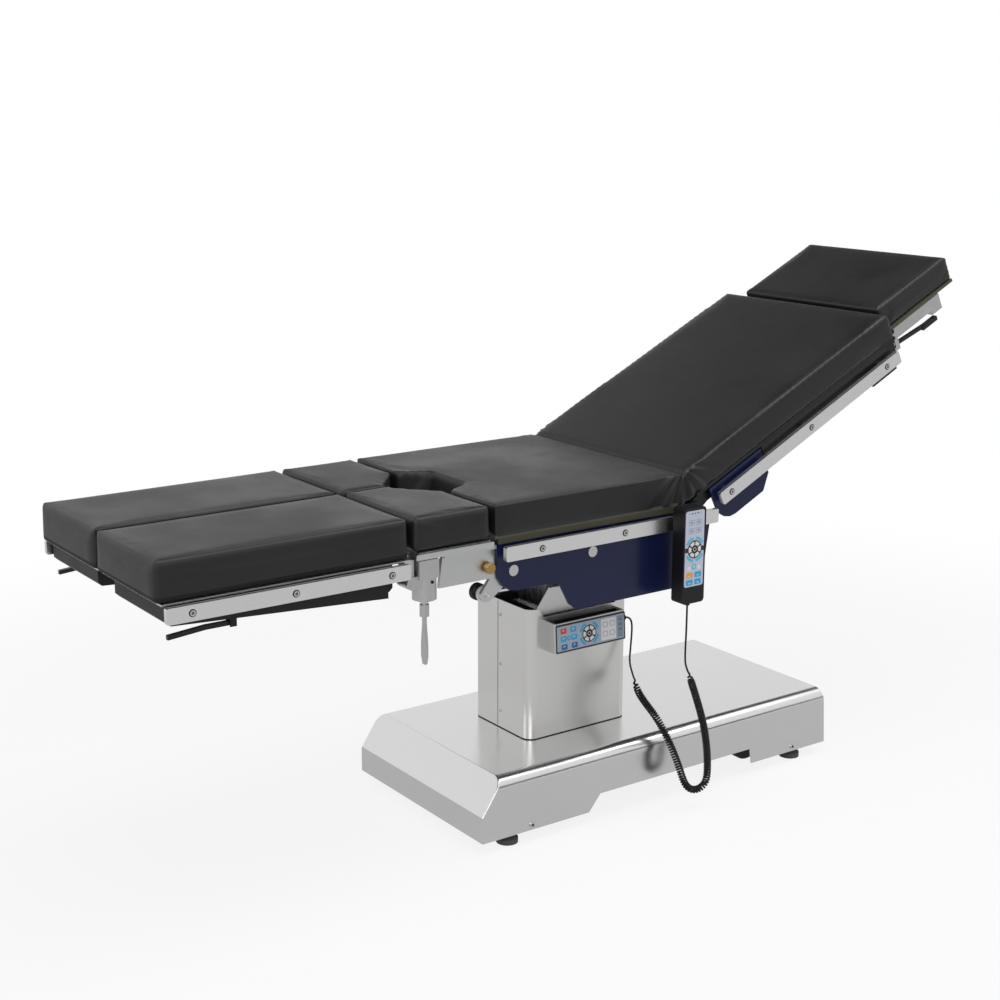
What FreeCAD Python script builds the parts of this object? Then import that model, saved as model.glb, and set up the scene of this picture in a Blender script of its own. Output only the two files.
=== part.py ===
import FreeCAD, Part
import math
import os
import Sketcher

# An operating table: wheeled base, lifting column, tilting seat, back, head and two leg plates.
# Millimetres, +X towards the head, +Y away from the control side, +Z up.
# The origin is on the floor below the middle of the base.

doc = FreeCAD.newDocument("operating_table")

# Driving dimensions
SIZES = {
    "floor_gap": 25, "base_length": 956, "base_width": 464, "base_top": 152, "base_wall": 2,
    "toe_top": 80, "toe_run": 49, "head_draft": 8, "toe_bend": 3, "edge_roll": 27,
    "cover_hole": 10, "slack": 5, "arch_over": 10,
    "arch_foot": 218, "arch_slant": 38, "arch_top": 60, "arch_head": 251, "arch_corner": 7,
    "foot_radius": 22.5, "foot_neck": 14, "foot_pad": 10, "foot_cone": 7, "foot_stem": 8,
    "foot_x": 397, "foot_y": 202,
    "frame_length": 850, "frame_width": 410, "frame_low": 112, "frame_thick": 12,
    "rib_offset": 70, "rib_thick": 6, "rib_depth": 32, "rib_length": 780,
    "tab_width": 30, "tab_thick": 3, "screw_foot_x": 356, "screw_head_x": 375, "screw_z": 36,
    "screw_head": 6, "screw_proud": 2.5, "stand_radius": 8, "stand_x": 380, "stand_y": 150,
    "caster_x": 320, "caster_y": 158, "caster_trail": 25, "wheel_radius": 40, "wheel_width": 28,
    "wheel_gap": 4, "wheel_bore": 6, "wheel_crown": 6, "fork_gap": 2, "fork_cheek": 3,
    "fork_stem": 12, "fork_crown": 5, "fork_reach": 16, "running_gap": 0.3,
    "column_x": 137, "shroud_length": 266, "shroud_width": 199, "shroud_wall": 2,
    "shroud_round": 22, "shroud_end_top": 437, "shroud_side_top": 417, "shroud_notch": 38,
    "shroud_notch_slope": 16, "seal_height": 2, "post_size": 120, "post_wall": 8, "post_top": 410,
    "slide_gap": 0.5, "ram_wall": 6, "ram_low": 128, "ram_top": 500,
    "inner_length": 232, "inner_width": 180, "inner_wall": 2, "inner_round": 16,
    "inner_low": 158, "inner_end_top": 420, "inner_top": 500, "inner_slope": 58,
    "head_plate": 8, "head_plate_low": 470,
    "tilt_z": 560, "cheek_in": 45, "cheek_thick": 12, "cheek_half": 28, "cheek_bore": 12,
    "cross_x": 35, "cross_y": 40, "cross_z": 20, "yoke_in": 62, "yoke_thick": 12, "yoke_half": 35,
    "yoke_low": 536,
    "panel_length": 186, "panel_left": 226, "panel_low": 344, "panel_high": 408,
    "panel_depth": 35.5, "panel_lean": 4, "panel_recess": 6, "panel_rim": 10, "panel_round": 4,
    "gland_radius": 6, "gland_length": 10, "gland_y": 118, "gland_z": 386, "gland_bore": 2.4,
    "cord_radius": 2.2, "coil_radius": 8.5,
    "board_thick": 7, "pad_thick": 62, "table_top": 723, "table_half": 260, "board_half": 256,
    "board_in": 4,
    "seat_foot": 471, "seam_gap": 1.5, "cut_half_wide": 95, "cut_half_narrow": 60, "cut_depth": 61,
    "cut_apex": 67, "cut_half_apex": 20, "pad_round": 14,
    "bevel_top": 51, "bevel_low": 3, "board_end": 10,
    "plate_out": 250, "plate_thick": 5, "plate_top": 654, "plate_low": 479, "plate_flange": 22,
    "plate_fold": 14, "plate_foot": 457, "plate_step": 543, "plate_curve": 46,
    "plate_step_x": 326, "plate_drop_x": 263, "plate_heel": 63, "plate_heel_rise": 5,
    "plate_head": 84, "plate_head_turn": 599, "plate_chamfer": 31, "plate_flange_in": 8,
    "cross_tube": 36, "cross_tube_foot": 330, "cross_tube_head": 2, "cross_tube_z": 606,
    "spine_half": 100, "spine_low": 640, "spine_thick": 10,
    "rail_out": 275, "rail_thick": 10, "rail_width": 29, "rail_round": 4, "rail_boss": 9,
    "seat_rail_foot": 453, "seat_rail_head": 86, "seat_rail_low": 611,
    "seat_boss_foot": 85, "seat_boss_head": 141, "seat_boss_pitch": 108,
    "leg_pivot_x": 420, "leg_pivot_z": 585, "pivot_radius": 9, "cap_radius": 11, "cap_proud": 3,
    "cap_spare_x": 227, "cap_spare_z": 592,
    "hip_x": 26.4, "hip_z": 625.5, "bore_over": 20,
    "arm_out": 244, "arm_thick": 8, "arm_foot": 578, "arm_rake": 7, "arm_top": 634,
    "arm_low": 575, "arm_neck": 12,
    "arm_flange": 7, "arm_flange_out": 252, "arm_end": 460, "lobe_x": 476, "lobe_z": 543,
    "lobe_radius": 14, "lobe_neck": 7, "lobe_pin": 5, "lobe_pin_in": 203, "bolster": 26, "bolster_x": 548,
    "bolster_z": 600, "lug_low": 642, "lug_thick": 6, "lug_half": 20, "lug_reach": 62,
    "lug_foot": 30, "lug_in": 3, "board_gap": 6, "bridge_in": 12,
    "knuckle_x": 619, "knuckle_y": 245, "spigot_radius": 10, "spigot_low": 556,
    "block_foot": 643, "block_head": 600, "block_low": 605, "block_top": 641, "block_half": 22,
    "barrel_radius": 23, "barrel_low": 562, "drop_x": 656, "drop_z": 600, "ear_radius": 12,
    "ear_gap": 11.5, "ear_thick": 7, "drop_pin": 5,
    "clamp_radius": 9, "clamp_low": 528, "clamp_top": 551, "clamp_stud": 6, "wing_low": 434,
    "wing_thick": 5, "wing_wide": 18, "wing_narrow": 9, "wing_root": 5, "wing_neck": 15,
    "wing_tip": 16, "wing_broad": 40, "ear_in": 4, "pin_proud": 1, "lug_slack": 0.5,
    "pelvic_foot": 650, "pelvic_board": 6, "pelvic_split": 1.5,
    "leg_foot": 1159, "leg_joint": 656, "leg_split": 4, "leg_pad_low": 645,
    "sheet_thick": 3, "sheet_foot": 1146, "sheet_in": 8, "sheet_out": 258,
    "tray_foot": 1136, "tray_joint": 669, "tray_in": 38, "tray_out": 254, "tray_low_foot": 604,
    "tray_low_joint": 577, "tray_corner": 7, "web_sunk": 1, "tray_notch_in": 215, "tray_notch_x": 702,
    "leg_rail_foot": 1145, "leg_rail_joint": 666, "leg_rail_low": 613,
    "leg_boss_foot": 47, "leg_boss_joint": 40,
    "lever_y": 243, "lever_pivot_x": 1012, "lever_pivot_z": 588, "lever_radius": 4,
    "lever_mid_x": 1062, "lever_mid_z": 588, "lever_tip_x": 1132, "lever_tip_z": 582,
    "lever_hub": 6, "lever_lug": 4, "lug_pad": 6,
    "actuator_y": 223, "rod_radius": 5, "rod_end_x": 250, "eye_radius": 12, "eye_bore": 7.6,
    "eye_wide": 9, "actuator_x": 140, "actuator_z": 535, "tube_radius": 14, "tube_foot_x": 312,
    "roller_radius": 17, "roller_wide": 5,
    "knob_x": 477, "knob_z": 599, "knob_radius": 11, "knob_length": 15, "knob_neck": 7,
    "knob_collar": 4, "knob_shaft": 4,
    "back_x": 2.8, "back_raise": 26, "back_length": 653, "back_bevel_top": 56, "back_bevel_low": 8,
    "back_board_start": 12, "side_tube_out": 244, "side_tube_width": 20, "side_tube_drop": 69,
    "board_sink": 0.5,
    "side_tube_depth": 30, "side_tube_start": 30, "side_tube_end": 640, "back_tube_low": 90,
    "back_tube_mid": 330, "back_tube_top": 605, "hip_boss": 18, "hip_pin": 8,
    "fold_out": 256, "fold_thick": 5, "fold_start": 80, "fold_end": 206,
    "fold_plate_start": 46, "fold_plate_end": 203, "fold_plate_top": 72, "fold_plate_low": 161,
    "fold_curve": 41, "fold_corner": 29,
    "back_rail_start": 54, "back_rail_end": 630, "back_rail_drop": 113,
    "back_boss_start": 30, "back_boss_end": 44,
    "grip_start": 560, "grip_low": 140, "grip_top": 99,
    "head_start": 659, "head_length": 250, "head_half": 215.5, "head_step": 3,
    "bar_y": 205, "bar_width": 20, "bar_start": 655, "bar_end": 849, "bar_top": 81, "bar_low": 97,
    "end_start": 815, "end_low": 108, "neck_along": 668, "neck_depth": 100, "neck_pin": 6,
    "ear_start": 620, "ear_over": 8, "ear_up": 12, "ear_down": 10, "neck_ear": 6,
    "neck_ear_gap": 1,
    "clevis_along": 686, "clevis_wide": 16, "clevis_low": 123, "clevis_half": 8.7, "clevis_thick": 4,
    "head_lever_depth": 112, "head_lever_hub": 12, "head_lever_end": 827, "head_lever_drop": 125,
    "head_lever_radius": 4,
    "head_grip": 6, "head_grip_start": 780, "head_cross_low": 700, "head_cross_top": 825,
    "head_cross_wide": 20, "bar_post_start": 30, "bar_post_end": 60, "knee_over": 9,
    "handset_x": 48, "handset_width": 58, "handset_front": 320, "handset_thick": 34,
    "handset_low": 466, "handset_high": 666, "handset_round": 8, "hook_thick": 3, "hook_gap": 1,
    "hook_sunk": 2, "heel_drop": 30,
    "boot_radius": 5, "boot_length": 8,
}


class Size:
    """A length kept both as a number and as the sheet expression that gives it."""

    def __init__(self, value, text):
        self.value = float(value)
        self.text = text

    def __add__(self, other):
        other = as_size(other)
        return Size(self.value + other.value, "(%s + %s)" % (self.text, other.text))

    def __radd__(self, other):
        return as_size(other) + self

    def __neg__(self):
        return Size(-self.value, "(0 - %s)" % self.text)

    def __sub__(self, other):
        other = as_size(other)
        return Size(self.value - other.value, "(%s - %s)" % (self.text, other.text))

    def __rsub__(self, other):
        return as_size(other) - self

    def __mul__(self, factor):
        return Size(self.value * factor, "(%s * (%s))" % (self.text, factor))

    def __rmul__(self, factor):
        return self * factor

    def __truediv__(self, factor):
        return Size(self.value / factor, "(%s / (%s))" % (self.text, factor))


def as_size(number):
    return number if isinstance(number, Size) else Size(number, "(%s)" % number)


class Sheet:
    """The spreadsheet of driving dimensions, read by name."""

    def __init__(self, numbers):
        self.cells = doc.addObject("Spreadsheet::Sheet", "sizes")
        self.numbers = numbers
        for row, (name, number) in enumerate(numbers.items(), 1):
            self.cells.set("A%d" % row, name)
            self.cells.set("B%d" % row, str(number))
            self.cells.setAlias("B%d" % row, name)
        doc.recompute()

    def __getattr__(self, name):
        return Size(self.numbers[name], "sizes." + name)


S = Sheet(SIZES)
NODES = []
X_AXIS = FreeCAD.Vector(1, 0, 0)
Y_AXIS = FreeCAD.Vector(0, 1, 0)
Z_AXIS = FreeCAD.Vector(0, 0, 1)
TURN = {"X": FreeCAD.Rotation(Y_AXIS, 90), "Y": FreeCAD.Rotation(X_AXIS, -90),
        "Z": FreeCAD.Rotation()}
NEAR, FAR = -1, 1
SIDES = {"near": NEAR, "far": FAR}


# Drawing and joining helpers
def bind(thing, prop, size):
    size = as_size(size)
    thing.setExpression(prop, size.text)


def move(thing, x, y, z, turn=None):
    """Place a piece, its position tied to the sheet."""
    place = [as_size(n) for n in (x, y, z)]
    thing.Placement = FreeCAD.Placement(FreeCAD.Vector(*[n.value for n in place]),
                                        turn or FreeCAD.Rotation())
    for name, size in zip("xyz", place):
        bind(thing, "Placement.Base." + name, size)
    return thing


def box(name, low, high):
    """A block between two corners."""
    low = [as_size(n) for n in low]
    high = [as_size(n) for n in high]
    block = doc.addObject("Part::Box", name)
    for prop, a, b in zip(("Length", "Width", "Height"), low, high):
        bind(block, prop, b - a)
    return move(block, *low)


def rod(name, axis, radius, start, length):
    """A round bar from a start point along X, Y or Z."""
    bar = doc.addObject("Part::Cylinder", name)
    bind(bar, "Radius", radius)
    bind(bar, "Height", length)
    return move(bar, *start, TURN[axis])


def cone(name, low_radius, high_radius, start, length):
    """A round taper that rises from a start point."""
    taper = doc.addObject("Part::Cone", name)
    bind(taper, "Radius1", low_radius)
    bind(taper, "Radius2", high_radius)
    bind(taper, "Height", length)
    return move(taper, *start)


def fuse(name, pieces):
    joined = doc.addObject("Part::MultiFuse", name)
    joined.Shapes = pieces
    joined.Refine = True
    return joined


def cut(name, base, tools):
    taken = doc.addObject("Part::Cut", name)
    taken.Base = base
    taken.Tool = tools[0] if len(tools) == 1 else fuse(name + "_tools", tools)
    taken.Refine = True
    return taken


def group(name, pieces):
    together = doc.addObject("Part::Compound", name)
    together.Links = pieces
    return together


def mirror(name, piece):
    """The same piece on the other side of the table."""
    other = doc.addObject("Part::Mirroring", name)
    other.Source = piece
    other.Normal = Y_AXIS
    return other


def pair(name, piece):
    return group(name, [piece, mirror(name + "_far_side", piece)])


def keep(node, piece):
    """Name a finished piece as a part of the table."""
    piece.Label = node
    NODES.append((node, piece))
    return piece


def lean(piece):
    """Turn a piece drawn flat on the back section to the slope of the back."""
    slope = FreeCAD.Rotation(FreeCAD.Vector(0, -1, 0), S.back_raise.value)
    move(piece, S.back_x, 0, S.table_top, slope)
    bind(piece, "Placement.Rotation.Angle", S.back_raise)
    return piece


def origin_plane(body, role):
    return [plane for plane in body.Origin.OriginFeatures if plane.Role == role][0]


def sketch_on(body, name, role, middle):
    """A sketch on an origin plane, moved along the axis that the plane faces."""
    sketch = body.newObject("Sketcher::SketchObject", name)
    sketch.AttachmentSupport = [(origin_plane(body, role), "")]
    sketch.MapMode = "FlatFace"
    middle = as_size(middle)
    bind(sketch, "AttachmentOffset.Base.z", -middle if role == "XZ_Plane" else middle)
    return sketch


def outline(body, name, role, middle, points):
    """A closed sketch of straight lines, each corner tied to the sheet."""
    sketch = sketch_on(body, name, role, middle)
    corners = [(as_size(a), as_size(b)) for a, b in points]
    count = len(corners)
    for here in range(count):
        (a, b), (c, d) = corners[here], corners[(here + 1) % count]
        start = FreeCAD.Vector(a.value, b.value, 0)
        sketch.addGeometry(Part.LineSegment(start, FreeCAD.Vector(c.value, d.value, 0)))
    for here in range(count):
        sketch.addConstraint(Sketcher.Constraint("Coincident", here, 2, (here + 1) % count, 1))
    for here, corner in enumerate(corners):
        for kind, size in zip(("DistanceX", "DistanceY"), corner):
            tie = sketch.addConstraint(Sketcher.Constraint(kind, -1, 1, here, 1, size.value))
            sketch.setExpression("Constraints[%d]" % tie, size.text)
    return sketch


def pad(body, name, role, middle, thick, points):
    """Add a slab of an outline, half its thickness each side of the middle."""
    slab = body.newObject("PartDesign::Pad", name)
    slab.Profile = outline(body, name + "_outline", role, middle, points)
    slab.Midplane = True
    bind(slab, "Length", thick)
    return slab


def pocket(body, name, role, middle, thick, points):
    """Take a slab of an outline away."""
    slot = body.newObject("PartDesign::Pocket", name)
    slot.Profile = outline(body, name + "_outline", role, middle, points)
    slot.Midplane = True
    bind(slot, "Length", thick)
    return slot


def soften(body, name, radius, wanted):
    """Round the edges of a body that pass a test."""
    doc.recompute()
    base = body.Tip
    picked = ["Edge%d" % (n + 1) for n, edge in enumerate(base.Shape.Edges) if wanted(edge)]
    curve = body.newObject("PartDesign::Fillet", name)
    curve.Base = (base, picked)
    bind(curve, "Radius", radius)
    return curve


def new_body(name):
    return doc.addObject("PartDesign::Body", name)


def plate(name, role, middle, thick, points):
    """A body that is one flat slab."""
    body = new_body(name)
    pad(body, name + "_slab", role, middle, thick, points)
    return body


def rectangle(a, b, c, d):
    return [(a, b), (c, b), (c, d), (a, d)]


# Steps of the lower foot corner that is drawn as a polygon
ARC_STEPS = 4


def curve_points(x, z, radius):
    """Points of a lower foot corner, from its upright side to its bottom."""
    points = []
    for step in range(ARC_STEPS + 1):
        angle = math.pi + math.pi / 2 * step / ARC_STEPS
        points.append((x + radius * round(math.cos(angle), 4), z + radius * round(math.sin(angle), 4)))
    return points


def between(low, high, share):
    return low + (high - low) * share


def ring(name, outer, inner, thick, crown=None):
    """A turned disc about Z with a bore, its rims rounded."""
    body = new_body(name)
    sketch = sketch_on(body, name + "_circles", "XY_Plane", 0)
    for here, size in enumerate((outer, inner)):
        size = as_size(size)
        circle = Part.Circle(FreeCAD.Vector(), Z_AXIS, size.value)
        sketch.addGeometry(circle)
        sketch.addConstraint(Sketcher.Constraint("Coincident", here, 3, -1, 1))
        tie = sketch.addConstraint(Sketcher.Constraint("Radius", here, size.value))
        sketch.setExpression("Constraints[%d]" % tie, size.text)
    disc = body.newObject("PartDesign::Pad", name + "_disc")
    disc.Profile = sketch
    disc.Midplane = True
    bind(disc, "Length", thick)
    if crown is not None:
        big = as_size(outer).value

        def is_rim(edge):
            return abs(edge.Length - 2 * math.pi * big) < big / 100

        soften(body, name + "_rim", crown, is_rim)
    return body


def runs_along(edge, axis):
    """True for a straight edge parallel to an axis."""
    if len(edge.Vertexes) != 2 or not isinstance(edge.Curve, (Part.Line, Part.LineSegment)):
        return False
    step = edge.Vertexes[1].Point - edge.Vertexes[0].Point
    return step.Length > 0 and abs(step.normalize().dot(axis)) > 0.9999


# Base: the cover, the frame inside it, feet and screws
def cover_form(name, inset):
    """The outside of the cover, or its inside when drawn smaller by the wall."""
    half = S.base_length / 2 - inset
    top = S.base_top - inset
    low = S.floor_gap - inset
    body = new_body(name)
    wide = S.base_width - 2 * inset
    pad(body, name + "_side", "XZ_Plane", 0, wide,
        [(-half, low), (half, low), (half - S.head_draft, top), (-half, top)])

    def long_top(edge):
        return runs_along(edge, X_AXIS) and edge.Vertexes[0].Z > S.toe_top.value

    soften(body, name + "_roll", S.edge_roll - inset, long_top)
    above = top + S.bore_over
    before = -half - S.bore_over
    pocket(body, name + "_toe", "XZ_Plane", 0, wide + S.bore_over,
           [(-half, S.toe_top), (S.toe_run - half, top), (S.toe_run - half, above), (before, above),
            (before, S.toe_top)])
    return body


def make_base_cover():
    outside = cover_form("cover_outside", as_size(0))
    toe_end = (S.toe_run - S.base_length / 2).value

    def toe_edge(edge):
        on_toe = all(v.X < toe_end + S.slack.value and v.Z > S.floor_gap.value for v in edge.Vertexes)
        return on_toe and edge.BoundBox.XMin < toe_end and not runs_along(edge, X_AXIS)

    soften(outside, "cover_outside_toe", S.toe_bend, toe_edge)
    shell = cut("cover_shell", outside, [cover_form("cover_inside", S.base_wall)])
    wide = S.base_width + S.bore_over
    arch = new_body("cover_arch")
    pad(arch, "arch_profile", "XZ_Plane", 0, wide,
        [(-S.arch_foot, S.floor_gap - S.arch_over), (S.arch_slant - S.arch_foot, S.arch_top),
         (S.arch_head - S.arch_corner, S.arch_top), (S.arch_head, S.floor_gap - S.arch_over)])
    hole = S.post_size / 2 + S.cover_hole
    opening = box("cover_hole", (-S.column_x - hole, -hole, S.base_top - S.bore_over),
                  (hole - S.column_x, hole, S.base_top + S.bore_over))
    keep("base_cover", cut("cover_whole", shell, [arch, opening]))


def make_base_frame():
    half_x = S.frame_length / 2
    half_y = S.frame_width / 2
    low = S.frame_low
    top = low + S.frame_thick
    pieces = [box("frame_plate", (-half_x, -half_y, low), (half_x, half_y, top))]
    inside = S.base_width / 2 - S.base_wall
    for word, side in SIDES.items():
        middle = side * S.rib_offset
        pieces.append(box("frame_rib_" + word,
                          (-S.rib_length / 2, middle - S.rib_thick / 2, low - S.rib_depth),
                          (S.rib_length / 2, middle + S.rib_thick / 2, low)))
        for end, x in (("foot", -S.screw_foot_x), ("head", S.screw_head_x)):
            left = x - S.tab_width / 2
            tab = "frame_tab_%s_%s" % (end, word)
            wall = side * (inside - S.tab_thick / 2)
            pieces.append(box(tab, (left, wall - S.tab_thick / 2, S.floor_gap + S.base_wall),
                              (left + S.tab_width, wall + S.tab_thick / 2, top)))
            reach = side * (half_y + inside) / 2
            width = inside - half_y
            pieces.append(box(tab + "_web", (left, reach - width / 2, low),
                              (left + S.tab_width, reach + width / 2, top)))
        for end, sign in (("foot", -1), ("head", 1)):
            pieces.append(rod("frame_stand_%s_%s" % (end, word), "Z", S.stand_radius,
                              (sign * S.stand_x, side * S.stand_y, top),
                              S.base_top - S.base_wall - top))
    keep("base_frame", fuse("frame_weld", pieces))


def make_feet():
    feet = []
    for word, side in SIDES.items():
        for end, sign in (("foot", -1), ("head", 1)):
            name = "foot_%s_%s" % (end, word)
            x = sign * S.foot_x
            y = side * S.foot_y
            pad_disc = rod(name + "_pad", "Z", S.foot_radius, (x, y, 0), S.foot_pad)
            taper = cone(name + "_taper", S.foot_radius, S.foot_neck, (x, y, S.foot_pad), S.foot_cone)
            stem = rod(name + "_stem", "Z", S.foot_stem, (x, y, S.foot_pad),
                       S.frame_low - S.foot_pad)
            feet.append(fuse(name, [pad_disc, taper, stem]))
    keep("feet", group("four_feet", feet))


def make_cover_screws():
    screws = []
    for word, side in SIDES.items():
        for end, x in (("foot", -S.screw_foot_x), ("head", S.screw_head_x)):
            middle = side * (S.base_width / 2 + S.screw_proud / 2)
            screws.append(rod("cover_screw_%s_%s" % (end, word), "Y", S.screw_head,
                              (x, middle - S.screw_proud / 2, S.screw_z), S.screw_proud))
    keep("cover_screws", group("cover_screw_set", screws))


# Swivel casters under the frame
def make_caster(end, sign, word, side):
    x = sign * S.caster_x
    y = side * S.caster_y
    axle_x = x - S.caster_trail
    axle_z = S.wheel_gap + S.wheel_radius
    top = S.frame_low - S.running_gap
    name = "%s_%s" % (end, word)
    crown_low = top - S.fork_crown * 2
    cheek_in = S.wheel_width / 2 + S.fork_gap
    cheek = []
    for tag, way in (("left", -1), ("right", 1)):
        middle = y + way * (cheek_in + S.fork_cheek / 2)
        cheek.append(plate("fork_cheek_%s_%s" % (name, tag), "XZ_Plane", middle, S.fork_cheek,
                           [(x - S.fork_reach, crown_low + S.fork_crown),
                            (axle_x - S.fork_reach / 2, axle_z + S.fork_reach / 2),
                            (axle_x - S.fork_reach / 2, axle_z - S.fork_reach / 2),
                            (axle_x + S.fork_reach / 2, axle_z - S.fork_reach / 2),
                            (x + S.fork_reach, crown_low + S.fork_crown)]))
    wide = cheek_in + S.fork_cheek
    crown = box("fork_crown_" + name, (x - S.fork_reach, y - wide, crown_low),
                (x + S.fork_reach, y + wide, crown_low + S.fork_crown))
    stem = rod("fork_stem_" + name, "Z", S.fork_stem, (x, y, crown_low), top - crown_low)
    axle = rod("fork_axle_" + name, "Y", S.wheel_bore, (axle_x, y - wide, axle_z), 2 * wide)
    keep("caster_fork_" + name, fuse("fork_weld_" + name, cheek + [crown, stem, axle]))
    wheel = ring("wheel_" + name, S.wheel_radius, S.wheel_bore + S.running_gap, S.wheel_width,
                 S.wheel_crown)
    keep("caster_wheel_" + name, move(wheel, axle_x, y, axle_z, TURN["Y"]))


# Column: shrouds, guide post, lifting ram and the tilting cross
def tube_form(name, length, width, low, high, radius):
    """An upright block with rounded corners about the column's middle."""
    body = new_body(name)
    pad(body, name + "_block", "XY_Plane", (low + high) / 2, high - low,
        rectangle(-S.column_x - length / 2, -width / 2, length / 2 - S.column_x, width / 2))
    soften(body, name + "_corners", radius, lambda edge: runs_along(edge, Z_AXIS))
    return body


def make_column_shroud():
    low = S.base_top + S.seal_height
    length, width, wall = S.shroud_length, S.shroud_width, S.shroud_wall
    outside = tube_form("shroud_outside", length, width, low, S.shroud_end_top, S.shroud_round)
    notch_foot = S.shroud_notch - S.column_x - length / 2
    notch_head = length / 2 - S.column_x - S.shroud_notch
    above = S.shroud_end_top + S.slack
    pocket(outside, "shroud_notch_cut", "XZ_Plane", 0, width + S.bore_over,
           [(notch_foot, S.shroud_side_top), (notch_head, S.shroud_side_top),
            (notch_head + S.shroud_notch_slope, above), (notch_foot - S.shroud_notch_slope, above)])
    inside = tube_form("shroud_inside", length - 2 * wall, width - 2 * wall, low - S.slack, above,
                       S.shroud_round - wall)
    keep("column_shroud", cut("shroud_tube", outside, [inside]))
    seal = S.shroud_wall * 2
    strip = tube_form("seal_outside", length, width, S.base_top, low, S.shroud_round)
    gap = tube_form("seal_inside", length - 2 * seal, width - 2 * seal, S.base_top - S.slack,
                    low + S.slack, S.shroud_round - seal)
    keep("shroud_seal", cut("seal_strip", strip, [gap]))


def make_column_post():
    low = S.frame_low + S.frame_thick
    half = S.post_size / 2
    bore = half - S.post_wall
    outside = box("post_outside", (-S.column_x - half, -half, low),
                  (half - S.column_x, half, S.post_top))
    inside = box("post_inside", (-S.column_x - bore, -bore, low - S.slack),
                 (bore - S.column_x, bore, S.post_top + S.slack))
    keep("column_post", cut("post_tube", outside, [inside]))


def make_lift_ram():
    half = S.post_size / 2 - S.post_wall - S.slide_gap
    bore = half - S.ram_wall
    outside = box("ram_outside", (-S.column_x - half, -half, S.ram_low),
                  (half - S.column_x, half, S.ram_top))
    inside = box("ram_inside", (-S.column_x - bore, -bore, S.ram_low - S.slack),
                 (bore - S.column_x, bore, S.head_plate_low))
    tube = cut("ram_tube", outside, [inside])
    wall = S.inner_width / 2 - S.inner_wall
    cap = box("ram_cap", (-S.column_x - half, -wall, S.head_plate_low),
              (half - S.column_x, wall, S.head_plate_low + S.head_plate))
    cheeks = []
    for word, side in SIDES.items():
        middle = side * (S.cheek_in + S.cheek_thick / 2)
        stem = box("cheek_stem_" + word,
                   (-S.column_x - S.cheek_half, middle - S.cheek_thick / 2, S.head_plate_low),
                   (S.cheek_half - S.column_x, middle + S.cheek_thick / 2, S.tilt_z))
        boss = rod("cheek_boss_" + word, "Y", S.cheek_half,
                   (-S.column_x, middle - S.cheek_thick / 2, S.tilt_z), S.cheek_thick)
        cheeks += [stem, boss]
    bore_tool = rod("cheek_bore_tool", "Y", S.cheek_bore,
                    (-S.column_x, -S.inner_width / 2, S.tilt_z), S.inner_width)
    keep("lift_ram", cut("ram_whole", fuse("ram_weld", [tube, cap] + cheeks), [bore_tool]))


def inner_form(name, inset):
    """The lifting cover's outside, or its inside, with sloped shoulders."""
    half = S.inner_length / 2 - inset
    body = new_body(name)
    extra = as_size(inset) * 3
    pad(body, name + "_profile", "XZ_Plane", 0, S.inner_width - 2 * inset,
        [(-S.column_x - half, S.inner_low - extra), (half - S.column_x, S.inner_low - extra),
         (half - S.column_x, S.inner_end_top + extra),
         (half - S.column_x - S.inner_slope, S.inner_top + extra),
         (S.inner_slope - half - S.column_x, S.inner_top + extra),
         (-S.column_x - half, S.inner_end_top + extra)])
    soften(body, name + "_corners", S.inner_round - inset, lambda edge: runs_along(edge, Z_AXIS))
    return body


def make_inner_shroud():
    keep("inner_shroud", cut("inner_tube", inner_form("inner_outside", as_size(0)),
                             [inner_form("inner_inside", S.inner_wall)]))


def make_tilt_cross():
    pin = S.cheek_bore - S.running_gap
    hub = box("cross_hub", (-S.column_x - S.cross_x, -S.cross_y, S.tilt_z - S.cross_z),
              (S.cross_x - S.column_x, S.cross_y, S.tilt_z + S.cross_z))
    across = S.cheek_in + S.cheek_thick
    along = S.yoke_in + S.yoke_thick
    trunnion = rod("cross_trunnion", "Y", pin, (-S.column_x, -across, S.tilt_z), 2 * across)
    journal = rod("cross_journal", "X", pin, (-S.column_x - along, 0, S.tilt_z), 2 * along)
    keep("tilt_cross", fuse("cross_weld", [hub, trunnion, journal]))


# Control panel and hand control
def make_panel():
    face = S.shroud_width / 2
    left = -S.panel_left
    right = S.panel_length - S.panel_left
    body = new_body("panel_body")
    pad(body, "panel_wedge", "YZ_Plane", (left + right) / 2, right - left,
        [(-face, S.panel_low), (-face, S.panel_high),
         (S.panel_lean - face - S.panel_depth, S.panel_high), (-face - S.panel_depth, S.panel_low)])
    pocket(body, "panel_top_recess", "XY_Plane", S.panel_high, 2 * S.panel_recess,
           rectangle(left + S.panel_rim, -face - S.panel_depth + S.panel_rim,
                     right - S.panel_rim, -face - S.panel_rim))
    front = (-face - S.panel_depth / 2).value
    tall = (S.panel_high - S.panel_low).value / 2

    def front_corner(edge):
        step = edge.Vertexes[0].Point - edge.Vertexes[-1].Point
        return all(v.Y < front for v in edge.Vertexes) and abs(step.z) > tall

    soften(body, "panel_corners", S.panel_round, front_corner)
    keep("panel_housing", body)
    sleeve = rod("gland_sleeve", "X", S.gland_radius, (right, -S.gland_y, S.gland_z), S.gland_length)
    bore = rod("gland_bore_tool", "X", S.gland_bore,
               (right + S.gland_length / 2, -S.gland_y, S.gland_z), S.gland_length)
    keep("cord_gland", cut("gland_whole", sleeve, [bore]))


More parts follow.
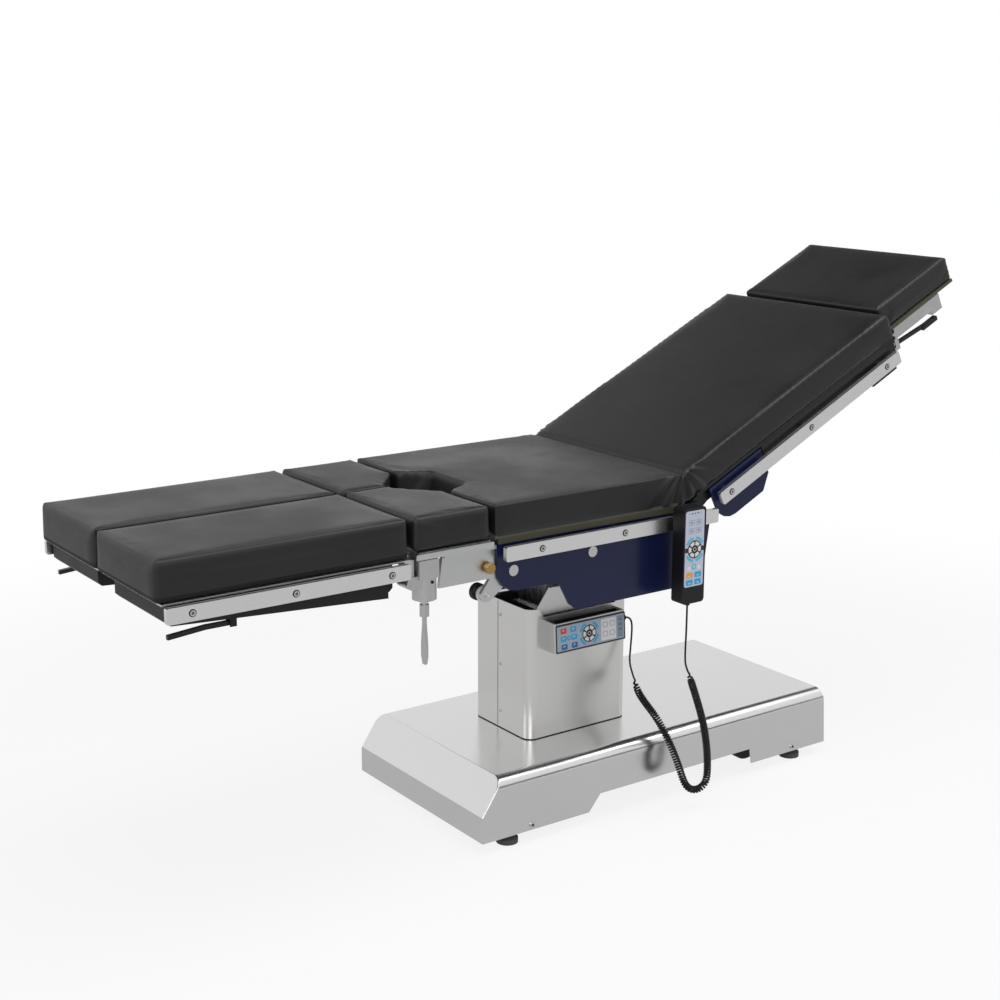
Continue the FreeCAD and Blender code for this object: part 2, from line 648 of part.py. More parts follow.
def make_handset():
    left = -S.handset_x
    right = S.handset_width - S.handset_x
    front = -S.handset_front
    rear = S.handset_thick - S.handset_front
    case = new_body("handset_case")
    pad(case, "case_block", "XZ_Plane", (front + rear) / 2, S.handset_thick,
        rectangle(left, S.handset_low, right, S.handset_high))
    soften(case, "case_corners", S.handset_round, lambda edge: runs_along(edge, Y_AXIS))
    rail_top = S.seat_rail_low + S.rail_width
    inner = -S.rail_out + S.rail_thick + S.hook_gap
    sunk = rear - S.hook_sunk
    under = rail_top + S.hook_gap
    over = under + S.hook_thick
    tip = rail_top - S.rail_width / 3
    hook = plate("handset_hook", "YZ_Plane", (left + right) / 2, S.handset_width / 2,
                 [(sunk, under), (inner, under), (inner, tip), (inner + S.hook_thick, tip),
                  (inner + S.hook_thick, over), (sunk, over)])
    heel = box("handset_heel",
               (left + S.handset_width / 4, sunk, S.seat_rail_low - S.heel_drop),
               (right - S.handset_width / 4, -S.rail_out - S.hook_gap, over))
    middle = (left + right) / 2
    boot = rod("handset_boot", "Z", S.boot_radius,
               (middle, (front + rear) / 2, S.handset_low - S.boot_length), S.boot_length)
    keep("handset", fuse("handset_whole", [case, hook, heel, boot]))


# Cords: straight runs joined by arcs that touch both runs
BEND_SHARE = 0.45


def rounded_route(points):
    """The edges of a route and its bend radii, each corner an arc as large as its runs allow."""
    spots = [FreeCAD.Vector(*point) for point in points]
    edges = []
    radii = []
    here = spots[0]
    for before, corner, after in zip(spots, spots[1:], spots[2:]):
        back = (before - corner)
        ahead = (after - corner)
        reach = BEND_SHARE * min(back.Length, ahead.Length)
        back.normalize()
        ahead.normalize()
        start = corner + back * reach
        end = corner + ahead * reach
        inward = (back + ahead).normalize()
        half = back.getAngle(ahead) / 2
        sine = (start - end).Length / 2 / reach
        cosine = (1 - sine * sine) ** 0.5
        radius = reach * sine / cosine
        middle = corner + inward * (radius / sine - radius)
        edges.append(Part.LineSegment(here, start).toShape())
        edges.append(Part.Arc(start, middle, end).toShape())
        radii.append(radius)
        here = end
    edges.append(Part.LineSegment(here, spots[-1]).toShape())
    return Part.Wire(edges), radii


def cord_tube(node, points, radius):
    """A plain round tube along a route."""
    wire, radii = rounded_route(points)
    first = wire.Edges[0]
    start = first.valueAt(first.FirstParameter)
    ahead = first.tangentAt(first.FirstParameter)
    disc = Part.Face(Part.Wire(Part.Circle(start, ahead, radius).toShape()))
    tube = doc.addObject("Part::Feature", node)
    tube.Shape = wire.makePipe(disc) if len(points) == 2 else wire.makePipeShell(
        [disc.OuterWire], True, False)
    section = math.pi * radius * radius * wire.Length
    print(node, "length", round(wire.Length), "tube over section",
          round(tube.Shape.Volume / section, 4), "radii", [round(r, 1) for r in radii])
    keep(node, tube)


def make_cords():
    gland_end = S.panel_length.value - S.panel_left.value + S.gland_length.value
    exit_point = (gland_end, -S.gland_y.value, S.gland_z.value)
    top = (-26, -146, 262)
    turn = (-14.5, -304, 318)
    middle = (S.handset_width.value / 2 - S.handset_x.value,
              S.handset_thick.value / 2 - S.handset_front.value,
              S.handset_low.value - S.boot_length.value)
    panel_route = [exit_point, (-16, -118, 384), (-9, -118.5, 370), (-11, -121, 348),
                   (-18, -126, 316), (-24.9, -131, 287), top]
    coil_route = [top, (-27.3, -164, 231), (-29, -192, 214), (-28, -224, 195), (-24, -250, 166),
                  (-17, -269, 131), (-10, -283, 95), (-5, -291, 67), (2, -296.5, 51.5),
                  (14.5, -300.5, 43.5), (28.5, -303.5, 43.5), (41, -305.5, 50.5),
                  (48, -306.5, 64.5), (48.5, -307, 94), (44, -307, 140), (33, -307, 190),
                  (16, -306, 240), (-2.5, -304.7, 289), turn]
    hand_route = [turn, (-20.5, -303.5, 333.5), (-20.5, -303, 366), (-19, -303, 402), middle]
    cord_tube("cord_lead_panel", panel_route, S.cord_radius.value)
    cord_tube("cord_coil", coil_route, S.coil_radius.value)
    cord_tube("cord_lead_handset", hand_route, S.cord_radius.value)


# Seat section
def make_seat_cushion():
    foot = S.seam_gap - S.seat_foot
    half = S.table_half
    inner = foot + S.cut_depth
    low = S.table_top - S.pad_thick
    body = new_body("seat_pad")
    pad(body, "seat_pad_slab", "XZ_Plane", 0, 2 * half,
        [(foot, low), (-S.bevel_low, low), (-S.bevel_top, S.table_top), (foot, S.table_top)])
    pocket(body, "seat_pad_cutout", "XY_Plane", S.table_top - S.pad_thick / 2,
           S.pad_thick + S.bore_over,
           [(foot - S.bore_over, -S.cut_half_wide), (foot, -S.cut_half_wide),
            (inner, -S.cut_half_narrow), (inner, S.cut_half_narrow), (foot, S.cut_half_wide),
            (foot - S.bore_over, S.cut_half_wide)])
    keep("seat_cushion", body)
    board = new_body("seat_board_slab")
    half = S.board_half
    start = foot + S.board_in
    end = -S.board_end
    deep = inner + S.board_in
    narrow = S.cut_half_narrow + S.board_in
    pad(board, "seat_board_outline", "XY_Plane", low - S.board_thick / 2, S.board_thick,
        [(start, -half), (end, -half), (end, half), (start, half), (start, S.cut_half_wide),
         (deep, narrow), (deep, -narrow), (start, -S.cut_half_wide)])
    keep("seat_board", board)


# Shares of the way along and down the side plate's curved shoulder and heel
SHOULDER = [(0.32, 0.11), (0.68, 0.78)]
HEEL_SHARE = 0.55


def side_plate():
    """The folded side plate of the seat, drawn on the near side."""
    out = S.plate_out
    middle = S.plate_thick / 2 - out
    body = new_body("side_plate")
    foot = -S.plate_foot
    fold_end = -S.plate_flange_in
    curve = curve_points(foot + S.plate_curve, S.plate_step + S.plate_curve, S.plate_curve)
    shoulder = [(between(-S.plate_step_x, -S.plate_drop_x, along),
                 between(S.plate_step, S.plate_low, down)) for along, down in SHOULDER]
    heel_z = S.plate_low + S.plate_heel_rise
    pad(body, "side_plate_web", "XZ_Plane", middle, S.plate_thick,
        [(foot, S.plate_top)] + curve + [(-S.plate_step_x, S.plate_step)] + shoulder
        + [(-S.plate_drop_x, S.plate_low), (fold_end, S.plate_low), (S.plate_heel, heel_z),
           (between(S.plate_heel, S.plate_head, HEEL_SHARE),
            between(heel_z, S.plate_head_turn, 1 - HEEL_SHARE)),
           (S.plate_head, S.plate_head_turn), (S.plate_head, S.plate_top - S.plate_chamfer),
           (S.plate_head - S.plate_chamfer, S.plate_top)])
    pad(body, "side_plate_flange", "XY_Plane", S.plate_top - S.plate_thick / 2, S.plate_thick,
        rectangle(foot, -out, -S.plate_fold, S.plate_flange - out))
    pad(body, "side_plate_fold", "XY_Plane", S.plate_low + S.plate_thick / 2, S.plate_thick,
        rectangle(-S.plate_drop_x, -out, fold_end, S.plate_fold - out))
    return body


def make_seat_frame():
    near = side_plate()
    far = mirror("side_plate_far", near)
    inside = S.plate_out - S.plate_thick / 2
    tubes = []
    for word, x in (("foot", -S.cross_tube_foot), ("head", -S.cross_tube_head)):
        tubes.append(box("seat_tube_" + word, (x - S.cross_tube, -inside, S.cross_tube_z),
                         (x, inside, S.cross_tube_z + S.cross_tube)))
    spine = box("seat_spine", (-S.cross_tube_foot - S.cross_tube, -S.spine_half, S.spine_low),
                (-S.cross_tube_head, S.spine_half, S.spine_low + S.spine_thick))
    yokes = []
    for word, sign in (("foot", -1), ("head", 1)):
        middle = sign * (S.yoke_in + S.yoke_thick / 2) - S.column_x
        stem = box("yoke_stem_" + word, (middle - S.yoke_thick / 2, -S.yoke_half, S.tilt_z),
                   (middle + S.yoke_thick / 2, S.yoke_half, S.spine_low + S.spine_thick))
        boss = rod("yoke_boss_" + word, "X", S.tilt_z - S.yoke_low,
                   (middle - S.yoke_thick / 2, 0, S.tilt_z), S.yoke_thick)
        yokes += [stem, boss]
    reach = S.plate_out + S.bore_over
    along = S.yoke_in + S.yoke_thick + S.bore_over
    bore = rod("yoke_bore_tool", "X", S.cheek_bore, (-S.column_x - along, 0, S.tilt_z), 2 * along)
    hip = rod("hip_bore_tool", "Y", S.hip_pin, (S.hip_x, -reach, S.hip_z), 2 * reach)
    knee = rod("knee_bore_tool", "Y", S.pivot_radius, (-S.leg_pivot_x, -reach, S.leg_pivot_z),
               2 * reach)
    frame = cut("seat_frame_whole", fuse("seat_weld", [near, far, spine] + tubes + yokes),
                [bore, hip, knee])
    keep("seat_frame", frame)


def rail(name, start, end, low, bosses, seat):
    """An accessory rail with the spacers that stand it off the section."""
    out = S.rail_out
    middle = S.rail_thick / 2 - out
    body = new_body(name + "_bar")
    pad(body, name + "_slab", "XZ_Plane", middle, S.rail_thick,
        rectangle(start, low, end, low + S.rail_width))
    soften(body, name + "_ends", S.rail_round, lambda edge: runs_along(edge, Y_AXIS))
    spacers = []
    for tag, x in bosses:
        spacers.append(rod("%s_spacer_%s" % (name, tag), "Y", S.rail_boss,
                           (x, S.rail_thick - out, low + S.rail_width / 2),
                           out - S.rail_thick - seat))
    return fuse(name + "_weld", [body] + spacers)


def make_seat_rails():
    head_boss = S.seat_rail_head - S.seat_boss_head
    bosses = [("a", S.seat_boss_foot - S.seat_rail_foot), ("b", head_boss - S.seat_boss_pitch),
              ("c", head_boss)]
    near = rail("seat_rail", -S.seat_rail_foot, S.seat_rail_head, S.seat_rail_low, bosses, S.plate_out)
    keep("seat_rails", pair("seat_rail_pair", near))


def make_pivot_pins():
    proud = S.cap_proud
    out = S.plate_out
    pieces = []
    inner = S.arm_out - S.arm_thick
    knee = rod("knee_pin", "Y", S.pivot_radius - S.running_gap,
               (-S.leg_pivot_x, -out, S.leg_pivot_z), out - inner)
    knee_cap = rod("knee_cap", "Y", S.cap_radius, (-S.leg_pivot_x, -out - proud, S.leg_pivot_z), proud)
    pieces.append(fuse("knee_pin_whole", [knee, knee_cap]))
    hip_in = S.side_tube_out - S.side_tube_width
    pieces.append(rod("hip_pin", "Y", S.hip_pin - S.running_gap, (S.hip_x, -out, S.hip_z),
                      out - hip_in))
    spare_cap = rod("actuator_cap", "Y", S.cap_radius, (-S.cap_spare_x, -out - proud, S.cap_spare_z),
                    proud)
    pieces.append(spare_cap)
    face = out - S.plate_thick
    pieces.append(rod("actuator_pin", "Y", S.lobe_pin, (-S.actuator_x, -face, S.actuator_z),
                      face - S.actuator_y + S.tube_radius / 2))
    near = group("pins_near", pieces)
    keep("pivot_pins", pair("pin_pairs", near))


# Leg section bracket, its drive and its locks
# The link down to the lobe leans at 45 degrees and meets its round end at this share of its radius
LOBE_CHORD = math.sqrt(0.5)


def make_leg_bracket():
    middle = S.arm_thick / 2 - S.arm_out
    arm = new_body("arm")
    eye = 2 * S.pivot_radius
    chord = S.lobe_radius * LOBE_CHORD
    pad(arm, "arm_web", "XZ_Plane", middle, S.arm_thick,
        [(-S.arm_foot, S.arm_top), (-S.arm_foot - S.arm_rake, S.arm_low),
         (S.lobe_neck - S.lobe_x, S.arm_low), (-S.lobe_x - chord, S.lobe_z + chord),
         (chord - S.lobe_x, S.lobe_z - chord), (-S.leg_pivot_x, S.leg_pivot_z - eye),
         (eye - S.leg_pivot_x, S.leg_pivot_z), (-S.leg_pivot_x - S.arm_neck, S.arm_top)])
    inner = S.arm_out - S.arm_thick
    reach = S.plate_out
    lobe = rod("arm_lobe", "Y", S.lobe_radius, (-S.lobe_x, -S.arm_out, S.lobe_z), S.arm_thick)
    boss = rod("arm_boss", "Y", eye, (-S.leg_pivot_x, -S.arm_out, S.leg_pivot_z), S.arm_thick)
    flange = box("arm_flange_strip", (-S.arm_foot, -S.arm_flange_out, S.arm_top),
                 (-S.arm_end, -inner, S.arm_top + S.arm_flange))
    lug = box("arm_lug", (-S.arm_foot - S.lug_reach, S.lug_in - S.knuckle_y - S.lug_half, S.lug_low),
              (-S.arm_foot, -S.knuckle_y + S.lug_half, S.lug_low + S.lug_thick))
    lug_foot = box("arm_lug_foot", (-S.arm_foot, -S.arm_flange_out, S.arm_top),
                   (-S.arm_foot + S.lug_foot, -inner, S.lug_low + S.lug_thick))
    spigot = rod("arm_spigot", "Z", S.spigot_radius, (-S.knuckle_x, -S.knuckle_y, S.spigot_low),
                 S.lug_low + S.lug_thick - S.spigot_low)
    pin = rod("arm_pin", "Y", S.lobe_pin, (-S.lobe_x, -S.arm_out, S.lobe_z),
              S.arm_out - S.lobe_pin_in)
    knee = rod("arm_knee_bore", "Y", S.pivot_radius, (-S.leg_pivot_x, -reach, S.leg_pivot_z),
               S.bore_over)
    shaft = rod("arm_knob_bore", "Y", S.knob_shaft + S.running_gap, (-S.knob_x, -reach, S.knob_z),
                S.bore_over)
    board_low = S.table_top - S.pad_thick - S.board_thick - S.pelvic_board
    near = cut("arm_whole", fuse("arm_weld", [arm, lobe, boss, flange, lug, lug_foot, spigot, pin]),
               [knee, shaft])
    far = mirror("arm_far", near)
    tube = rod("bolster_tube", "Y", S.bolster / 2, (-S.bolster_x, -inner, S.bolster_z), 2 * inner)
    foot = S.pad_round - S.pelvic_foot
    apex = -S.seat_foot - S.cut_apex
    head = -S.seat_foot - S.board_gap
    boards = []
    for word, side in SIDES.items():
        edge = side * S.board_half
        split = side * S.board_gap
        board = new_body("pelvic_board_" + word)
        pad(board, "pelvic_board_%s_slab" % word, "XY_Plane", board_low + S.pelvic_board / 2,
            S.pelvic_board,
            [(foot, edge), (foot, split), (apex - S.board_gap, split),
             (apex - S.board_gap, side * S.cut_half_apex),
             (head, side * (S.cut_half_wide + S.board_gap)), (head, edge)])
        boards.append(board)
    bridge = box("pelvic_bridge", (-S.arm_foot, -inner, S.arm_top),
                 (apex - S.bridge_in, inner, board_low))
    keep("leg_bracket", fuse("bracket_weld", [near, far, tube, bridge] + boards))


def make_pelvic_cushions():
    low = S.table_top - S.pad_thick - S.board_thick
    apex = -S.seat_foot - S.cut_apex
    head = -S.seat_foot - S.seam_gap
    for word, side in SIDES.items():
        split = side * S.pelvic_split
        body = plate("pelvic_pad_" + word, "XY_Plane", (low + S.table_top) / 2, S.table_top - low,
                     [(-S.pelvic_foot, split), (apex, split), (apex, side * S.cut_half_apex),
                      (head, side * S.cut_half_wide), (head, side * S.table_half),
                      (-S.pelvic_foot, side * S.table_half)])
        outer = S.table_half.value - 1
        foot = -S.pelvic_foot.value + 1
        soften(body, "pelvic_pad_%s_corner" % word, S.pad_round,
               lambda edge: runs_along(edge, Z_AXIS) and abs(edge.Vertexes[0].Y) > outer
               and edge.Vertexes[0].X < foot)
        keep("pelvic_cushion_" + word, body)


def make_rollers():
    rollers = []
    inner = S.actuator_y - S.eye_wide / 2 - 1
    for tag, y in (("inner", inner - S.roller_wide), ("outer", inner - 2 * S.roller_wide - 1)):
        wheel = ring("roller_" + tag, S.roller_radius, S.lobe_pin + S.running_gap, S.roller_wide, 1)
        rollers.append(move(wheel, -S.lobe_x, -y - S.roller_wide / 2, S.lobe_z, TURN["Y"]))
    outer = S.actuator_y + S.eye_wide / 2 + 1
    width = S.arm_out - S.arm_thick - outer - 1
    white = ring("roller_white", S.roller_radius - 1, S.lobe_pin + S.running_gap, width, 1)
    rollers.append(move(white, -S.lobe_x, -outer - width / 2, S.lobe_z, TURN["Y"]))
    keep("link_rollers", pair("roller_pairs", group("rollers_near", rollers)))


def make_actuator():
    slope = (S.lobe_z.value - S.actuator_z.value) / (S.lobe_x.value - S.actuator_x.value)
    angle = FreeCAD.Rotation(Y_AXIS, math.degrees(slope))
    y = -S.actuator_y
    reach = S.lobe_x - S.actuator_x
    free = S.rod_radius + S.running_gap
    end = S.tube_foot_x - S.actuator_x
    tube = rod("tube_outside", "X", S.tube_radius, (-end, 0, 0), end)
    heel = rod("tube_heel", "Y", S.tube_radius, (0, -S.eye_wide, 0), 2 * S.eye_wide)
    bore = rod("tube_bore", "X", free, (-end - S.rod_radius, 0, 0), end - S.tube_radius * 2)
    pin_hole = rod("tube_pin_hole", "Y", S.lobe_pin + S.running_gap, (0, -2 * S.eye_wide, 0),
                   4 * S.eye_wide)
    barrel = cut("tube_whole", fuse("tube_weld", [tube, heel]), [bore, pin_hole])
    move(barrel, -S.actuator_x, y, S.actuator_z, angle)
    keep("actuator_barrel", pair("tube_pair", barrel))
    start = S.rod_end_x - S.actuator_x
    shaft = rod("rod_shaft", "X", S.rod_radius, (-reach + S.eye_bore, 0, 0), reach - start - S.eye_bore)
    eye = rod("rod_eye", "Y", S.eye_radius, (-reach, -S.eye_wide / 2, 0), S.eye_wide)
    eye_hole = rod("rod_eye_hole", "Y", S.eye_bore, (-reach, -S.eye_wide, 0), 2 * S.eye_wide)
    whole = cut("rod_whole", fuse("rod_weld", [shaft, eye]), [eye_hole])
    move(whole, -S.actuator_x, y, S.actuator_z, angle)
    keep("actuator_rod", pair("rod_pair", whole))


def make_lock_plunger(word, side):
    face = S.arm_out
    knob = ring("knob_" + word, S.knob_radius, S.knob_shaft / 2, S.knob_length - S.knob_collar, 2)
    middle = side * (face + S.running_gap + S.knob_collar + (S.knob_length - S.knob_collar) / 2)
    move(knob, -S.knob_x, middle, S.knob_z, TURN["Y"])
    start = side * (face + S.running_gap + S.knob_collar / 2)
    collar = rod("knob_collar_" + word, "Y", S.knob_neck, (-S.knob_x, start - S.knob_collar / 2, S.knob_z),
                 S.knob_collar)
    length = S.knob_length + S.arm_thick
    shaft = rod("knob_shaft_" + word, "Y", S.knob_shaft,
                (-S.knob_x, side * (face - S.arm_thick + length / 2) - length / 2, S.knob_z), length)
    keep("lock_plunger_" + word, fuse("knob_weld_" + word, [knob, collar, shaft]))


# Leg plates and the knuckles that carry them
def make_knuckle(word, side):
    x = -S.knuckle_x
    y = side * S.knuckle_y
    block = box("block_" + word, (-S.block_foot, y - S.block_half, S.block_low),
                (-S.block_head, y + S.block_half, S.block_top))
    barrel = rod("barrel_" + word, "Z", S.barrel_radius, (x, y, S.barrel_low),
                 S.block_low - S.barrel_low + S.slack)
    ears = []
    for tag, way in (("in", -1), ("out", 1)):
        middle = y + way * (S.ear_gap + S.ear_thick / 2)
        low = middle - S.ear_thick / 2
        ears.append(rod("ear_%s_%s" % (word, tag), "Y", S.ear_radius, (-S.drop_x, low, S.drop_z),
                        S.ear_thick))
        ears.append(box("ear_web_%s_%s" % (word, tag), (-S.drop_x, low, S.drop_z - S.ear_radius),
                        (-S.knuckle_x - S.spigot_radius - S.ear_in, low + S.ear_thick,
                         S.drop_z + S.ear_radius)))
    reach = S.ear_gap + S.ear_thick + S.pin_proud
    pin = rod("drop_pin_" + word, "Y", S.drop_pin, (-S.drop_x, y - reach, S.drop_z), 2 * reach)
    bore = rod("knuckle_bore_" + word, "Z", S.spigot_radius + S.running_gap,
               (x, y, S.barrel_low - S.slack), S.block_top - S.barrel_low + 2 * S.slack)
    keep("knuckle_" + word, cut("knuckle_whole_" + word,
                                fuse("knuckle_weld_" + word, [block, barrel, pin] + ears), [bore]))


def make_clamp_handle(word, side):
    x = -S.knuckle_x
    y = side * S.knuckle_y
    boss = rod("clamp_boss_" + word, "Z", S.clamp_radius, (x, y, S.clamp_low), S.clamp_top - S.clamp_low)
    stud = rod("clamp_stud_" + word, "Z", S.clamp_stud, (x, y, S.clamp_top),
               S.spigot_low - S.running_gap - S.clamp_top)
    wide = S.wing_wide / 2
    narrow = S.wing_narrow / 2
    root = S.clamp_low + S.wing_root
    neck = S.clamp_low - S.wing_neck
    broad_low = S.wing_low + S.wing_tip
    broad_top = S.wing_low + S.wing_broad
    wing = plate("wing_" + word, "YZ_Plane", x, S.wing_thick,
                 [(y - narrow, root), (y - narrow, neck), (y - wide, broad_top), (y - wide, broad_low),
                  (y - narrow, S.wing_low), (y + narrow, S.wing_low), (y + wide, broad_low),
                  (y + wide, broad_top), (y + narrow, neck), (y + narrow, root)])
    keep("clamp_handle_" + word, fuse("clamp_weld_" + word, [boss, stud, wing]))


def make_leg(word, side):
    sheet_top = S.leg_pad_low
    sheet_low = sheet_top - S.sheet_thick
    cushion_body = plate("leg_pad_" + word, "XY_Plane", (sheet_top + S.table_top) / 2,
                         S.table_top - sheet_top,
                         rectangle(-S.leg_foot, side * S.leg_split, -S.leg_joint, side * S.table_half))
    soften(cushion_body, "leg_pad_corners_" + word, S.pad_round,
           lambda edge: runs_along(edge, Z_AXIS))
    keep("leg_cushion_" + word, cushion_body)
    sheet = plate("leg_sheet_" + word, "XY_Plane", sheet_low + S.sheet_thick / 2, S.sheet_thick,
                  rectangle(-S.sheet_foot, side * S.sheet_in, -S.leg_joint, side * S.sheet_out))
    y = side * S.knuckle_y
    half = S.ear_gap - S.lug_slack
    lug = rod("leg_lug_" + word, "Y", S.ear_radius, (-S.drop_x, y - half, S.drop_z), 2 * half)
    web = box("leg_web_" + word, (S.web_sunk - S.tray_joint, y - half, S.drop_z),
              (S.ear_radius - S.drop_x - S.ear_in, y + half, sheet_low + S.web_sunk))
    hole = rod("leg_hole_" + word, "Y", S.drop_pin + S.running_gap,
               (-S.drop_x, y - S.bore_over, S.drop_z), 2 * S.bore_over)
    keep("leg_frame_" + word, cut("leg_frame_whole_" + word,
                                  fuse("leg_frame_weld_" + word, [sheet, lug, web]), [hole]))
    middle = side * (S.tray_in + S.tray_out) / 2
    tray = plate("tray_" + word, "XZ_Plane", middle, S.tray_out - S.tray_in,
                 [(-S.tray_foot, sheet_low), (-S.tray_foot, S.tray_low_foot + S.tray_corner),
                  (S.tray_corner - S.tray_foot, S.tray_low_foot),
                  (-S.tray_joint - S.tray_corner, S.tray_low_joint),
                  (-S.tray_joint, S.tray_low_joint + S.tray_corner), (-S.tray_joint, sheet_low)])
    notch_out = S.tray_out + S.bore_over
    notch_middle = side * (S.tray_notch_in + notch_out) / 2
    notch_half = (notch_out - S.tray_notch_in) / 2
    notch = box("tray_notch_" + word,
                (-S.tray_notch_x, notch_middle - notch_half, S.tray_low_joint - S.bore_over),
                (S.bore_over - S.tray_joint, notch_middle + notch_half, sheet_low))
    lugs = []
    for tag, way in (("in", -1), ("out", 1)):
        mid = side * S.lever_y + way * (S.lever_hub + S.lever_lug / 4)
        lugs.append(box("lever_lug_%s_%s" % (word, tag),
                        (-S.lever_pivot_x - S.lug_pad, mid - S.lever_lug / 2,
                         S.lever_pivot_z - S.lug_pad),
                        (S.lug_pad - S.lever_pivot_x, mid + S.lever_lug / 2,
                         S.tray_low_foot + S.lug_pad)))
    pin_half = S.lever_hub + S.lever_lug / 2
    lug_pin = rod("lever_pin_" + word, "Y", S.lever_radius / 2,
                  (-S.lever_pivot_x, side * S.lever_y - pin_half, S.lever_pivot_z), 2 * pin_half)
    keep("leg_cover_" + word, fuse("tray_weld_" + word, [cut("tray_cut_" + word, tray, [notch]),
                                                         lug_pin] + lugs))
    foot_boss = S.leg_boss_foot - S.leg_rail_foot
    joint_boss = -S.leg_rail_joint - S.leg_boss_joint
    bosses = [("a", foot_boss), ("b", (foot_boss + joint_boss) / 2), ("c", joint_boss)]
    near = rail("leg_rail_" + word, -S.leg_rail_foot, -S.leg_rail_joint, S.leg_rail_low, bosses,
                S.tray_out)
    keep("leg_rail_" + word, near if side == NEAR else mirror("leg_rail_far_side", near))
    make_release_lever(word, side)


def make_release_lever(word, side):
    y = side * S.lever_y
    hub_half = S.lever_hub - S.lever_lug / 4 - S.lever_lug / 2 - S.running_gap
    body = new_body("lever_blade_" + word)
    wide = S.lever_radius
    pad(body, "lever_profile_" + word, "XZ_Plane", y, 2 * wide,
        [(-S.lever_pivot_x, S.lever_pivot_z + wide), (-S.lever_mid_x, S.lever_mid_z + wide),
         (-S.lever_tip_x, S.lever_tip_z + wide), (-S.lever_tip_x, S.lever_tip_z - wide),
         (-S.lever_mid_x, S.lever_mid_z - wide), (-S.lever_pivot_x, S.lever_pivot_z - wide)])
    hub = rod("lever_hub_" + word, "Y", S.lever_hub, (-S.lever_pivot_x, y - hub_half, S.lever_pivot_z),
              2 * hub_half)
    hole = rod("lever_hole_" + word, "Y", S.lever_radius / 2 + S.running_gap,
               (-S.lever_pivot_x, y - S.bore_over, S.lever_pivot_z), 2 * S.bore_over)
    whole = fuse("lever_weld_" + word, [body, hub])
    keep("release_lever_" + word, cut("lever_whole_" + word, whole, [hole]))


# Back and head sections, drawn flat and then leaned
def make_back():
    low = -S.pad_thick + 1
    half = S.table_half
    pad_body = new_body("back_pad")
    pad(pad_body, "back_pad_slab", "XZ_Plane", 0, 2 * half,
        [(S.back_bevel_low, low), (S.back_length, low), (S.back_length, 0), (S.back_bevel_top, 0)])
    keep("back_cushion", lean(pad_body))
    board = box("back_board_slab", (S.back_board_start, -S.board_half, low - S.board_thick),
                (S.back_length - S.board_in, S.board_half, low))
    keep("back_board", lean(group("back_board_piece", [board])))
    make_back_frame()
    plates = new_body("back_fold")
    middle = S.fold_thick / 2 - S.fold_out
    start, end = S.fold_plate_start, S.fold_plate_end
    bottom = -S.fold_plate_low
    curve = curve_points(start + S.fold_curve, bottom + S.fold_curve, S.fold_curve)
    pad(plates, "back_fold_web", "XZ_Plane", middle, S.fold_thick,
        [(start, -S.fold_plate_top)] + curve + [(end - S.fold_corner, bottom),
                                                (end, bottom + S.fold_corner),
                                                (end, -S.fold_plate_top)])
    keep("back_plates", lean(pair("back_fold_pair", plates)))
    low_boss = S.back_rail_start + S.back_boss_start
    top_boss = S.back_rail_end - S.back_boss_end
    bosses = [("a", low_boss), ("b", (low_boss + top_boss) / 2), ("c", top_boss)]
    bar = rail("back_rail", S.back_rail_start, S.back_rail_end, -S.back_rail_drop, bosses, S.fold_out)
    keep("back_rails", lean(pair("back_rail_pair", bar)))


# Share of the hip boss that the strap to the side tube covers
STRAP_SHARE = 0.94


def make_back_frame():
    out = S.side_tube_out
    top = S.board_sink - S.side_tube_drop
    low = top - S.side_tube_depth
    pieces = []
    hip_s, hip_n = hip_in_back()
    strap = S.hip_boss * STRAP_SHARE
    strap_end = S.side_tube_start + S.side_tube_width / 2
    for word, side in SIDES.items():
        middle = side * (out - S.side_tube_width / 2)
        a = middle - S.side_tube_width / 2
        b = middle + S.side_tube_width / 2
        pieces.append(box("side_tube_" + word, (S.side_tube_start, a, low), (S.side_tube_end, b, top)))
        for tag, start, end, face in (("low", S.fold_start, S.fold_end, S.fold_out - S.fold_thick),
                                      ("high", S.fold_end, S.side_tube_end, S.fold_out)):
            shoulder = side * (out + face) / 2
            half = (face - out) / 2
            pieces.append(box("side_shoulder_%s_%s" % (tag, word), (start, shoulder - half, low + 2),
                              (end, shoulder + half, top)))
        pieces.append(rod("hip_boss_" + word, "Y", S.hip_boss, (hip_s, a, hip_n), S.side_tube_width))
        pieces.append(plate("hip_strap_" + word, "XZ_Plane", middle, S.side_tube_width,
                            [(hip_s, hip_n + strap), (strap_end, top), (strap_end, low),
                             (hip_s, hip_n - strap)]))
        pieces.append(box("grip_" + word, (S.grip_start, a, -S.grip_low),
                          (S.side_tube_end, b, -S.grip_top + 1)))
    inner = out - S.side_tube_width / 2
    for tag, s in (("low", S.back_tube_low), ("mid", S.back_tube_mid), ("top", S.back_tube_top)):
        pieces.append(box("back_tube_" + tag, (s, -inner, low), (s + S.side_tube_depth, inner, top)))
    for word, side in SIDES.items():
        for tag, way in (("in", -1), ("out", 1)):
            middle = side * S.bar_y + way * (S.bar_width / 2 + S.neck_ear_gap + S.neck_ear / 2)
            pieces.append(box("neck_ear_%s_%s" % (word, tag),
                              (S.ear_start, middle - S.neck_ear / 2, -S.neck_depth - S.ear_down),
                              (S.neck_along + S.ear_over, middle + S.neck_ear / 2,
                               S.ear_up - S.neck_depth)))
    weld = fuse("back_weld", pieces)
    reach = S.plate_out + S.bore_over
    hip = rod("back_hip_bore", "Y", S.hip_pin, (hip_s, -reach, hip_n), 2 * reach)
    neck = rod("back_neck_bore", "Y", S.neck_pin + S.running_gap,
               (S.neck_along, -reach, -S.neck_depth), 2 * reach)
    keep("back_frame", lean(cut("back_frame_whole", weld, [hip, neck])))


